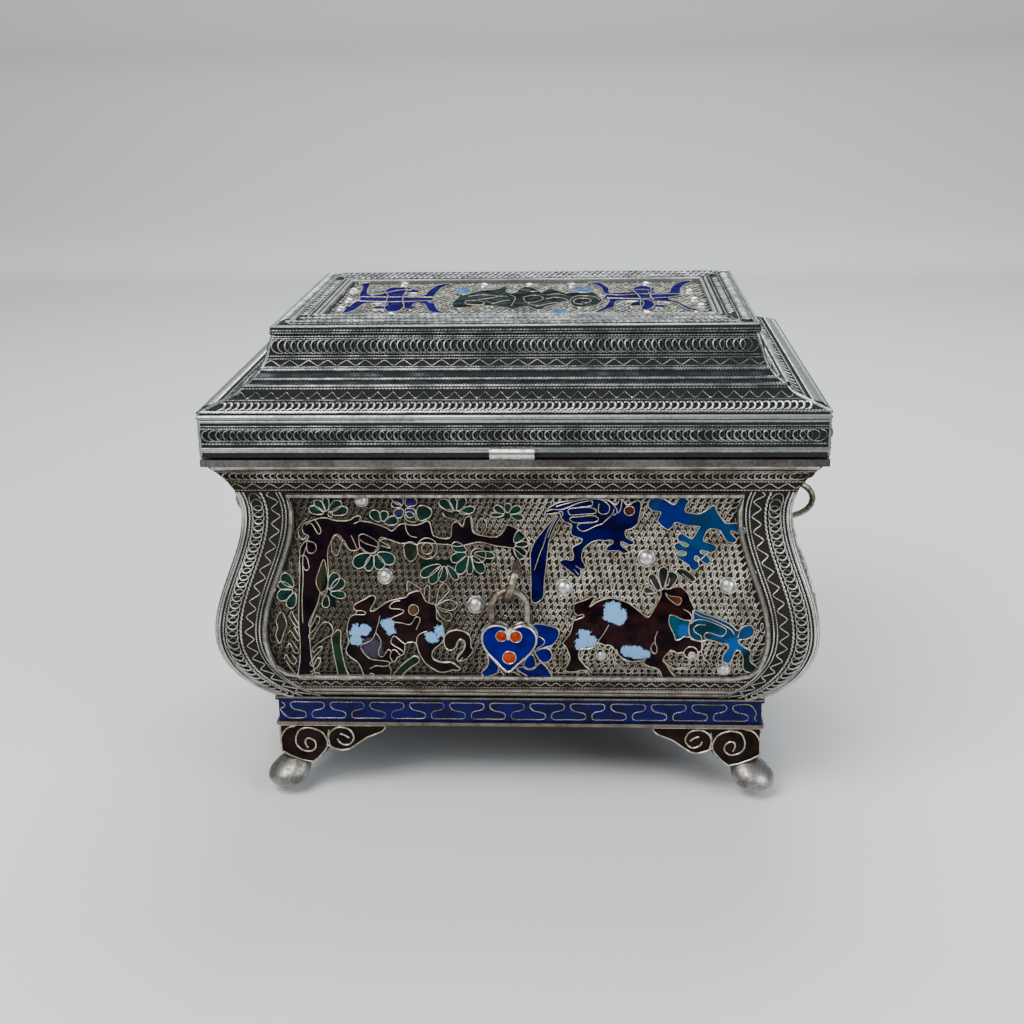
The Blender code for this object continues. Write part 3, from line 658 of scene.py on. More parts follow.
class Recipe:
    """The node tree of one material."""

    def __init__(self, name: str) -> None:
        """Start a material with one shader.

        Args:
            name: name of the material.
        """
        self.material = bpy.data.materials.new(name)
        self.material.use_nodes = True
        self.tree = self.material.node_tree
        self.shader = self.tree.nodes["Principled BSDF"]
        self.place = self.node("ShaderNodeTexCoord").outputs["Object"]

    def node(self, kind: str, settings: dict | None = None, inputs: dict | None = None) -> bpy.types.Node:
        """Add a node.

        Args:
            kind: its type.
            settings: its own settings, set before its sockets.
            inputs: values or links, by a socket's place, identifier or name.

        Returns:
            The node.
        """
        made = self.tree.nodes.new(kind)
        for key, value in (settings or {}).items():
            setattr(made, key, value)
        for key, value in (inputs or {}).items():
            self.feed(self.socket(made, key), value)
        return made

    @staticmethod
    def socket(node: bpy.types.Node, key: str | int) -> bpy.types.NodeSocket:
        """Find an input by its place, identifier or name.

        Args:
            node: the node.
            key: what to look for.

        Returns:
            The input.
        """
        if isinstance(key, int):
            return node.inputs[key]
        for socket in node.inputs:
            if socket.identifier == key:
                return socket
        return node.inputs[key]

    def feed(self, socket: bpy.types.NodeSocket, value: object) -> None:
        """Set a socket to a number or colour, or link it.

        Args:
            socket: the input.
            value: number, colour, signal or output.
        """
        if isinstance(value, Signal):
            value = value.socket
        if isinstance(value, bpy.types.NodeSocket):
            self.tree.links.new(value, socket)
        elif socket.type == "RGBA":
            socket.default_value = (*value, 1.0)
        else:
            socket.default_value = value

    def noise(self, size: float, detail: float = 2.0) -> Signal:
        """Cloudy noise whose patches are about so many millimetres across."""
        inputs = {"Vector": self.place, "Scale": 1.0 / (size * MM), "Detail": detail}
        return Signal(self, self.node("ShaderNodeTexNoise", {}, inputs).outputs[0])

    def attribute(self, name: str) -> Signal:
        """A number kept on the mesh."""
        node = self.node("ShaderNodeAttribute", {"attribute_name": name})
        return Signal(self, node.outputs["Fac"])

    def blend(self, mask: Signal, low: object, high: object) -> Signal:
        """Colour that goes from one to another with a mask.

        Args:
            mask: where the second shows.
            low: colour at 0.
            high: colour at 1.

        Returns:
            The colour.
        """
        node = self.node(
            "ShaderNodeMix",
            {"data_type": "RGBA"},
            {"Factor_Float": mask, "A_Color": low, "B_Color": high},
        )
        return Signal(self, next(s for s in node.outputs if s.identifier == "Result_Color"))

    def vector(self, operation: str, a: object, b: object, output: str = "Vector") -> Signal:
        """Vector sum of two vectors."""
        node = self.node("ShaderNodeVectorMath", {"operation": operation}, {0: a, 1: b})
        return Signal(self, node.outputs[output])

    def axis(self, vector: object, name: str) -> Signal:
        """One number of a vector."""
        node = self.node("ShaderNodeSeparateXYZ", {}, {0: vector})
        return Signal(self, node.outputs[name])

    def bump(self, height: Signal, depth: float, strength: float = 1.0) -> Signal:
        """Relief of so many millimetres from a height between 0 and 1."""
        inputs = {"Height": height, "Distance": depth * MM, "Strength": strength}
        return Signal(self, self.node("ShaderNodeBump", {}, inputs).outputs[0])

    def finished(self, **inputs: object) -> bpy.types.Material:
        """Feed the shader, with _ for a space in a socket's name, and return the material.

        Args:
            inputs: what goes into the shader.

        Returns:
            The material.
        """
        for key, value in inputs.items():
            self.feed(self.shader.inputs[key.replace("_", " ")], value)
        return self.material


# ---- finishes


@dataclass(frozen=True)
class Silver:
    """Silver darkened by tarnish in cloudy patches that stays bright between them, where it is rubbed."""

    name: str
    bright: Colour
    dark: Colour
    roughness: float
    tarnish: float = 0.35
    patch: float = 9.0

    def material(self) -> bpy.types.Material:
        """Material for plain sheet, cast and drawn pieces.

        Returns:
            The material.
        """
        recipe = Recipe(self.name)
        cloud = recipe.noise(self.patch, 3.0)
        grain = recipe.noise(0.7, 3.0)
        clean = (cloud * 0.65 + grain * 0.35).step(self.tarnish, self.tarnish + 0.3)
        return recipe.finished(
            Base_Color=recipe.blend(clean, self.dark, self.bright),
            Metallic=1.0,
            Roughness=(self.roughness + 0.25) - clean * 0.25,
            Normal=recipe.bump(grain, 0.03, 0.5),
        )


@dataclass(frozen=True)
class WireSilver(Silver):
    """Silver of fine wires, black at their feet: tarnish in the crease there together with painted shade."""

    foot: Colour = (0.008, 0.0075, 0.007)
    dusk: float = 0.0

    def material(self) -> bpy.types.Material:
        """Material for wires that carry how far they stand out.

        Returns:
            The material.
        """
        recipe = Recipe(self.name)
        rise = recipe.attribute("rise")
        cloud = recipe.noise(self.patch, 3.0)
        grain = recipe.noise(0.5, 2.0)
        clean = (cloud * 0.6 + grain * 0.4).step(self.tarnish, self.tarnish + 0.3)
        metal = recipe.blend(clean, self.dark, self.bright)
        # Black at each wire's foot and silver towards its top: tarnish together with painted shade in the
        # crease.
        top = rise.step(0.05, 0.75)
        # Darker towards the left of the front: tarnish together with painted shade.
        if self.dusk:
            left = recipe.axis(recipe.place, "X").step(0.012, -0.020)
            dim = tuple((1.0 - self.dusk) * c for c in self.dark)
            metal = recipe.blend(left * 0.85, metal, dim)
        return recipe.finished(
            Base_Color=recipe.blend(top, self.foot, metal),
            Metallic=1.0,
            Roughness=(self.roughness + 0.3) - top * 0.15 - clean * 0.15,
        )


@dataclass(frozen=True)
class Shell:
    """Sheet that backs the wirework, near-black outside for tarnish together with painted shade between the
    wires, and plain silver inside.
    """

    name: str
    outside: Colour
    inside: Colour
    roofed: bool = False

    def material(self) -> bpy.types.Material:
        """Material that tells inside from outside by the way a face looks.

        Returns:
            The material.
        """
        recipe = Recipe(self.name)
        normal = Signal(recipe, recipe.node("ShaderNodeTexCoord").outputs["Normal"])
        level = recipe.vector("MULTIPLY", recipe.place, Plane.TOP.value)
        inwards = recipe.vector("DOT_PRODUCT", level, normal, "Value").step(0.0, -0.0001)
        upright = recipe.axis(normal, "Z")
        flat = upright.step(-0.6, -0.7) if self.roofed else upright.step(0.75, 0.85)
        inner = inwards.most(flat)
        cloud = recipe.noise(14.0, 4.0)
        grain = recipe.noise(0.9, 3.0)
        rubbed = cloud.step(0.35, 0.7)
        lining = recipe.blend(rubbed, tuple(0.55 * c for c in self.inside), self.inside)
        # The outside is near-black: tarnish together with painted shade in the gaps between the wires.
        backing = recipe.blend(grain, self.outside, tuple(2.0 * c for c in self.outside))
        return recipe.finished(
            Base_Color=recipe.blend(inner, backing, lining),
            Metallic=inner,
            Roughness=0.9 - inner * 0.45 - rubbed * 0.08,
            Specular_IOR_Level=0.12,
            Normal=recipe.bump(grain, 0.05, 0.5),
        )


@dataclass(frozen=True)
class Patch:
    """A round patch of another colour in an enamel field."""

    at: tuple[float, float]
    radius: float
    colour: Colour
    softness: float = 0.25


@dataclass(frozen=True)
class Enamel:
    """Glassy enamel that pools darker in places, with patches of other colours."""

    name: str
    colour: Colour
    deep: Colour
    patches: tuple[Patch, ...] = ()
    plane: Plane = Plane.FRONT
    pooling: float = 3.5
    gloss: float = 0.22
    shine: float = 0.05
    bend: float = 1.45

    def material(self) -> bpy.types.Material:
        """Material of a field of enamel.

        Returns:
            The material.
        """
        recipe = Recipe(self.name)
        cloud = recipe.noise(self.pooling, 3.0)
        speck = recipe.noise(0.40, 2.0)
        ripple = recipe.noise(1.5, 2.0)
        colour = recipe.blend(cloud.step(0.36, 0.62), self.deep, self.colour)
        flat = recipe.vector("MULTIPLY", recipe.place, self.plane.value)
        for patch in self.patches:
            a, b = (value * MM for value in patch.at)
            centre = (a, 0.0, b) if self.plane is Plane.FRONT else (a, b, 0.0)
            distance = recipe.vector("DISTANCE", flat, centre, "Value") * (1.0 / MM)
            edge = distance + (ripple - 0.5) * (1.3 * patch.radius) + (speck - 0.5) * 1.6
            mask = edge.step(patch.radius * (1.0 + patch.softness), patch.radius)
            colour = recipe.blend(mask, colour, patch.colour)
        pits = speck.step(0.60, 0.72)
        return recipe.finished(
            Base_Color=recipe.blend(pits * 0.45, colour, (0.006, 0.005, 0.005)),
            Roughness=self.gloss + pits * 0.3 + cloud * 0.10,
            Specular_IOR_Level=self.shine, IOR=self.bend,
            Normal=recipe.bump(ripple * 0.75 + speck * 0.25, 0.10, 0.7),
        )


@dataclass(frozen=True)
class LidEnamel(Enamel):
    """Enamel of the lid's top, which is seen at a low angle and stays deep there."""

    plane: Plane = Plane.TOP
    shine: float = 0.02
    bend: float = 1.08


@dataclass(frozen=True)
class BandedPlinth:
    """Cobalt enamel between two silver mouldings."""

    enamel: Colour
    deep: Colour
    metal: Colour
    bottom: float
    top: float

    def material(self) -> bpy.types.Material:
        """Material that changes with the height above the floor.

        Returns:
            The material.
        """
        recipe = Recipe("plinth enamel and silver")
        height = recipe.axis(recipe.place, "Z") * (1.0 / MM)
        above = height.step(self.bottom - 0.02, self.bottom + 0.02)
        below = height.step(self.top + 0.02, self.top - 0.02)
        level = recipe.vector("MULTIPLY", recipe.place, Plane.TOP.value)
        normal = Signal(recipe, recipe.node("ShaderNodeTexCoord").outputs["Normal"])
        outwards = recipe.vector("DOT_PRODUCT", level, normal, "Value").step(0.0, 0.0001)
        field_mask = above * below * outwards
        cloud = recipe.noise(4.0, 3.0)
        grain = recipe.noise(0.6, 3.0)
        glass = recipe.blend(cloud.step(0.3, 0.7), self.deep, self.enamel)
        shade = tuple(0.35 * c for c in self.metal)
        silver = recipe.blend((cloud * 0.5 + grain * 0.5).step(0.3, 0.6), shade, self.metal)
        return recipe.finished(
            Base_Color=recipe.blend(field_mask, silver, glass),
            Metallic=1.0 - field_mask,
            Roughness=0.4 - field_mask * 0.18,
            Specular_IOR_Level=0.15,
            Normal=recipe.bump(grain, 0.05, 0.6),
        )


@dataclass(frozen=True)
class Backdrop:
    """Plain pale paper."""

    colour: Colour

    def material(self) -> bpy.types.Material:
        """Matt material with the faintest mottling.

        Returns:
            The material.
        """
        recipe = Recipe("pale floor")
        cloud = recipe.noise(300.0, 2.0)
        shade = tuple(0.97 * c for c in self.colour)
        return recipe.finished(Base_Color=recipe.blend(cloud, shade, self.colour), Roughness=0.9)


Finish = Silver | Shell | Enamel | BandedPlinth | Backdrop
SPOT = (0.150, 0.320, 0.560)

FINISHES: dict[str, Finish] = {
    # Each wire silver is black at a wire's foot: tarnish together with painted shade.
    "body_wire": WireSilver("body wire silver", (0.50, 0.465, 0.40), (0.15, 0.125, 0.09), 0.32, 0.34, 6.0),
    "net_wire": WireSilver("net wire silver", (0.52, 0.49, 0.42), (0.19, 0.165, 0.125), 0.34, 0.36, 4.0),
    "lid_wire": WireSilver("lid wire silver", (0.42, 0.44, 0.43), (0.11, 0.12, 0.12), 0.28, 0.38, 4.0),
    "cell_wire": WireSilver(
        "cell wire silver", (0.56, 0.51, 0.42), (0.24, 0.20, 0.14), 0.28, 0.34, 4.0,
        foot=(0.03, 0.027, 0.02),
    ),
    "lid_strip": Silver("lid strip silver", (0.40, 0.42, 0.42), (0.17, 0.18, 0.18), 0.28, 0.36, 14.0),
    "crescent": WireSilver("crescent silver", (0.80, 0.81, 0.79), (0.36, 0.37, 0.36), 0.24, 0.30, 4.0),
    "edge_wire": WireSilver("edge wire silver", (0.66, 0.66, 0.62), (0.26, 0.25, 0.22), 0.28, 0.34, 6.0),
    # The front net darkens towards the left: tarnish together with painted shade.
    "front_net": WireSilver(
        "front net silver", (0.54, 0.51, 0.44), (0.19, 0.165, 0.125), 0.34, 0.36, 4.0, dusk=0.65
    ),
    "lid_dark": Silver("lid valley silver", (0.060, 0.065, 0.070), (0.022, 0.024, 0.028), 0.42, 0.42, 6.0),
    # Near-black ground under the petals of each fan: painted shade between them.
    "dusk": Enamel("dusk enamel", (0.004, 0.012, 0.010), (0.002, 0.004, 0.004)),
    "lid_net": WireSilver("lid net silver", (0.42, 0.42, 0.36), (0.08, 0.08, 0.065), 0.42, 0.42, 2.0),
    # Dark grey silver of the body's rim: painted shade under the lid's edge.
    "flange": Silver("flange silver", (0.135, 0.135, 0.135), (0.06, 0.056, 0.05), 0.28, 0.34, 14.0),
    "frame": Silver("frame silver", (0.40, 0.39, 0.36), (0.14, 0.13, 0.11), 0.26, 0.34, 1.6),
    "pad": Silver("pad silver", (0.34, 0.335, 0.315), (0.13, 0.12, 0.10), 0.34, 0.34, 3.5),
    "umber": Enamel("umber enamel", (0.013, 0.0075, 0.006), (0.006, 0.0035, 0.003)),
    "bright": Silver("rubbed silver", (0.74, 0.72, 0.68), (0.26, 0.235, 0.20), 0.20, 0.32, 3.0),
    "aged": Silver("aged loop silver", (0.33, 0.29, 0.23), (0.10, 0.08, 0.055), 0.28, 0.36, 3.0),
    "stud": Silver("stud silver", (0.66, 0.67, 0.64), (0.28, 0.28, 0.26), 0.26, 0.32, 1.2),
    # Near-black outsides of the sheets: tarnish together with painted shade between the wires.
    "body_shell": Shell("body sheet", (0.010, 0.0085, 0.0065), (0.46, 0.44, 0.40)),
    "lid_shell": Shell("lid sheet", (0.009, 0.0095, 0.0095), (0.46, 0.45, 0.43), roofed=True),
    "plinth": BandedPlinth(
        (0.0006, 0.0006, 0.080), (0.0004, 0.0004, 0.028), (0.20, 0.175, 0.14), 16.3, 22.1
    ),
    "cobalt": Enamel("cobalt enamel", (0.0006, 0.0003, 0.140), (0.0004, 0.0002, 0.075)),
    "bird": Enamel("bird enamel", (0.0004, 0.0001, 0.046), (0.0003, 0.0001, 0.018), (
        Patch((24.5, 68.1), 0.9, (0.060, 0.010, 0.005), 0.1),
    )),
    "violet": LidEnamel("violet enamel", (0.007, 0.004, 0.105), (0.003, 0.0015, 0.040)),
    "twig": Enamel("turquoise enamel", (0.0005, 0.030, 0.105), (0.0005, 0.020, 0.060), (
        Patch((33.5, 66.5), 3.0, (0.0008, 0.008, 0.110), 0.6),
        Patch((38.0, 58.0), 1.6, (0.0008, 0.012, 0.100), 0.6),
        Patch((48.5, 61.5), 1.4, (0.0008, 0.008, 0.080), 0.6),
    )),
    "creature": Enamel("creature enamel", (0.003, 0.036, 0.110), (0.002, 0.018, 0.030), (
        Patch((47.0, 39.5), 1.7, (0.003, 0.055, 0.210), 0.5),
        Patch((45.9, 36.4), 1.3, (0.003, 0.050, 0.190), 0.5),
        Patch((49.8, 35.5), 2.0, (0.003, 0.014, 0.010), 0.5),
    )),
    "teal": Enamel("teal enamel", (0.003, 0.045, 0.075), (0.003, 0.030, 0.050), (
        Patch((36.1, 43.2), 1.0, (0.004, 0.060, 0.210), 0.8),
    ), pooling=2.5),
    "bark": Enamel("bark enamel", (0.007, 0.003, 0.005), (0.0015, 0.001, 0.003)),
    "moss": Enamel("moss enamel", (0.018, 0.022, 0.010), (0.007, 0.010, 0.006)),
    "fawn": Enamel("fawn enamel", (0.012, 0.005, 0.005), (0.003, 0.002, 0.003), (
        Patch((-34.0, 42.6), 1.3, SPOT), Patch((-32.3, 43.2), 1.1, SPOT), Patch((-34.2, 40.6), 1.2, SPOT),
        Patch((-27.2, 44.4), 1.15, SPOT), Patch((-26.7, 42.9), 0.9, SPOT),
        Patch((-15.9, 42.9), 1.1, SPOT), Patch((-17.7, 41.4), 1.2, SPOT),
        Patch((-30.6, 38.6), 1.9, (0.040, 0.035, 0.055), 0.5),
        Patch((-21.6, 47.3), 0.9, (0.060, 0.034, 0.014), 0.1),
    )),
    "stag": Enamel("stag enamel", (0.014, 0.004, 0.005), (0.003, 0.001, 0.002), (
        Patch((21.0, 47.0), 2.0, SPOT, 0.15), Patch((22.0, 46.3), 1.8, SPOT, 0.15),
        Patch((15.2, 42.0), 1.4, SPOT, 0.15), Patch((14.4, 40.0), 1.4, SPOT, 0.15),
        Patch((16.4, 40.6), 1.2, SPOT, 0.15), Patch((24.3, 38.2), 1.3, SPOT, 0.15),
        Patch((26.2, 37.9), 1.4, SPOT, 0.15), Patch((28.0, 37.6), 1.0, SPOT, 0.15),
    )),
    "antler": Enamel("antler enamel", (0.022, 0.020, 0.024), (0.006, 0.008, 0.008)),
    "chestnut": Enamel("chestnut enamel", (0.120, 0.024, 0.008), (0.045, 0.010, 0.005)),
    "coral": Enamel("coral enamel", (0.330, 0.045, 0.010), (0.170, 0.014, 0.006), pooling=1.4),
    "green": Enamel("green enamel", (0.005, 0.028, 0.022), (0.003, 0.012, 0.012), pooling=2.5),
    "pale_green": Enamel("pale green enamel", (0.090, 0.170, 0.120), (0.040, 0.100, 0.080)),
    "blade": Enamel("blade enamel", (0.010, 0.032, 0.012), (0.004, 0.013, 0.006)),
    "blossom": Enamel("blossom enamel", (0.016, 0.018, 0.090), (0.006, 0.006, 0.028)),
    "pale_blue": LidEnamel(
        "pale blue enamel", (0.045, 0.150, 0.300), (0.020, 0.060, 0.170), pooling=2.0, bend=1.45
    ),
    "swirl": LidEnamel("grey green enamel", (0.022, 0.034, 0.036), (0.005, 0.008, 0.010)),
    "floor": Backdrop((0.70, 0.71, 0.72)),
}


class Paints(dict[str, bpy.types.Material]):
    """Every finish of the casket, made once."""

    def __init__(self) -> None:
        """Make the materials."""
        super().__init__({name: finish.material() for name, finish in FINISHES.items()})


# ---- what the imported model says


def wall_profile(node: str) -> tuple[Points, Points]:
    """Reach and height of each knot of a shell's outer wall, read on its right side.

    Args:
        node: name of the shell.

    Returns:
        Reaches and heights, from the bottom to the top.
    """
    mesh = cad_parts[node].data
    found: dict[float, float] = {}
    for face in mesh.polygons:
        if face.center.x > 0.0 and face.normal.x > 0.05 and abs(face.normal.y) < 0.05:
            for index in face.vertices:
                point = mesh.vertices[index].co / MM
                key = round(point.z, 3)
                found[key] = max(found.get(key, 0.0), point.x)
    heights = sorted(found)
    return np.array([found[z] for z in heights]), np.array(heights)


def box_of(node: str) -> tuple[Vector, Vector]:
    """Lowest and highest corner of a node, in millimetres."""
    low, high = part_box(node)
    return Vector(low) / MM, Vector(high) / MM


def four_sides(half_x: float, half_y: float) -> list[tuple[str, float, float, float]]:
    """Name, half length, depth and turn of each side of a box.

    Args:
        half_x: half the width of the box.
        half_y: half its depth.

    Returns:
        One row a side, from the front round by the right.
    """
    return [
        ("front", half_x, half_y, 0.0), ("right", half_y, half_x, math.pi / 2.0),
        ("back", half_x, half_y, math.pi), ("left", half_y, half_x, -math.pi / 2.0),
    ]


def upright(turn: float, depth: float, heights: Sequence[float], half: float) -> Skin:
    """Plain upright face, as far each way from its middle."""
    return Skin(turn, np.full(2, depth), np.array(heights), np.full(2, -half), np.full(2, half))


def wall_skins(node: str, half_x: float, half_y: float) -> dict[str, Skin]:
    """The four faces of a shell, unrolled.

    Args:
        node: name of the shell.
        half_x: half its width where it is widest.
        half_y: half its depth there.

    Returns:
        A face for each side.
    """
    reach, height = wall_profile(node)
    inset = half_x - reach
    return {
        name: Skin(turn, depth - inset, height, inset - length, length - inset)
        for name, length, depth, turn in four_sides(half_x, half_y)
    }


def face_outlines(node: str, facing: Points) -> list[Points]:
    """Outlines of the side of a plate that looks a given way.

    Args:
        node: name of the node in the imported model.
        facing: the way it looks.

    Returns:
        Closed outlines, as places in millimetres.
    """
    shape = bmesh.new()
    shape.from_mesh(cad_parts[node].data)
    bmesh.ops.remove_doubles(shape, verts=shape.verts, dist=0.000002)
    look = Vector(facing)
    tops = {face for face in shape.faces if face.normal.dot(look) > 0.5}
    links: dict[int, list[int]] = {}
    places = {}
    for edge in shape.edges:
        if sum(face in tops for face in edge.link_faces) == 1:
            a, b = edge.verts
            links.setdefault(a.index, []).append(b.index)
            links.setdefault(b.index, []).append(a.index)
            places[a.index] = tuple(a.co / MM)
            places[b.index] = tuple(b.co / MM)
    shape.free()
    outlines = []
    left = set(links)
    while left:
        start = min(left)
        walk = [start]
        left.discard(start)
        while True:
            following = [n for n in links[walk[-1]] if n in left]
            if not following:
                break
            walk.append(following[0])
            left.discard(following[0])
        outlines.append(np.array([places[n] for n in walk]))
    return outlines


def dress(finish: bpy.types.Material, *nodes: str) -> None:
    """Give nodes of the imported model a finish.

    Args:
        finish: the finish.
        nodes: names of the nodes.
    """
    for name in nodes:
        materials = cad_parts[name].data.materials
        if not materials:
            materials.append(finish)
        for index in range(len(materials)):
            materials[index] = finish


# ---- sub-assemblies


Trace = tuple[int, ...]


def traced(trace: Trace) -> Points:
    """Places of a trace: a start and the steps from it, in tenths of a millimetre."""
    return np.cumsum(np.reshape(trace, (-1, 2)), 0) / 10.0


@dataclass(frozen=True)
class Panel:
    """A surface that figures lie on, and the body it rides on."""

    skin: Skin
    run_of: Callable[[Points], Points]
    body: Body = Body.CASKET

    def onto(self, flat: Points, lift: float | Points) -> tuple[Points, Points]:
        """Places and ways out of points drawn on the panel."""
        run = self.run_of(flat[:, 1])
        return self.skin.place(flat[:, 0], run, lift), self.skin.normals(run)


@dataclass(frozen=True)
class Figure:
    """Fields of one enamel and the wires on them, drawn in tenths of a millimetre."""

    name: str
    paint: str
    slot: Slot
    plates: tuple[str, ...] = ()
    fields: tuple[Trace, ...] = ()
    threads: tuple[Trace, ...] = ()
    rings: tuple[tuple[int, int, int], ...] = ()
    lift: float = 0.50


@dataclass(frozen=True)
class Fan:
    """Petals that spread from a hub: the middle and half sizes of each, in tenths."""

    plate: str
    hub: tuple[int, int]
    petals: tuple[tuple[int, int, int, int], ...]

    def outlines(self) -> list[Points]:
        """Egg-shaped outline of each petal, narrow end towards the hub.

        Returns:
            Closed outlines in millimetres.
        """
        turn = np.linspace(0.0, 2.0 * math.pi, 15)[:-1]
        hub = np.array(self.hub) / 10.0
        shapes = []
        for x, y, wide, high in self.petals:
            centre = np.array([x, y]) / 10.0
            out = unit(centre - hub)
            side = np.array([-out[1], out[0]])
            tip = centre + (wide * abs(out[0]) + high * abs(out[1])) / 10.0 * out
            base = hub + 0.18 * (tip - hub)
            length = float(np.linalg.norm(tip - base)) / 2.0
            width = 0.74 * (wide * abs(out[1]) + high * abs(out[0])) / 10.0
            bulge = width * (1.0 + 0.35 * np.cos(turn)) * np.sin(turn)
            middle = (tip + base) / 2.0
            shapes.append(middle + length * np.cos(turn)[:, None] * out + bulge[:, None] * side)
        return shapes


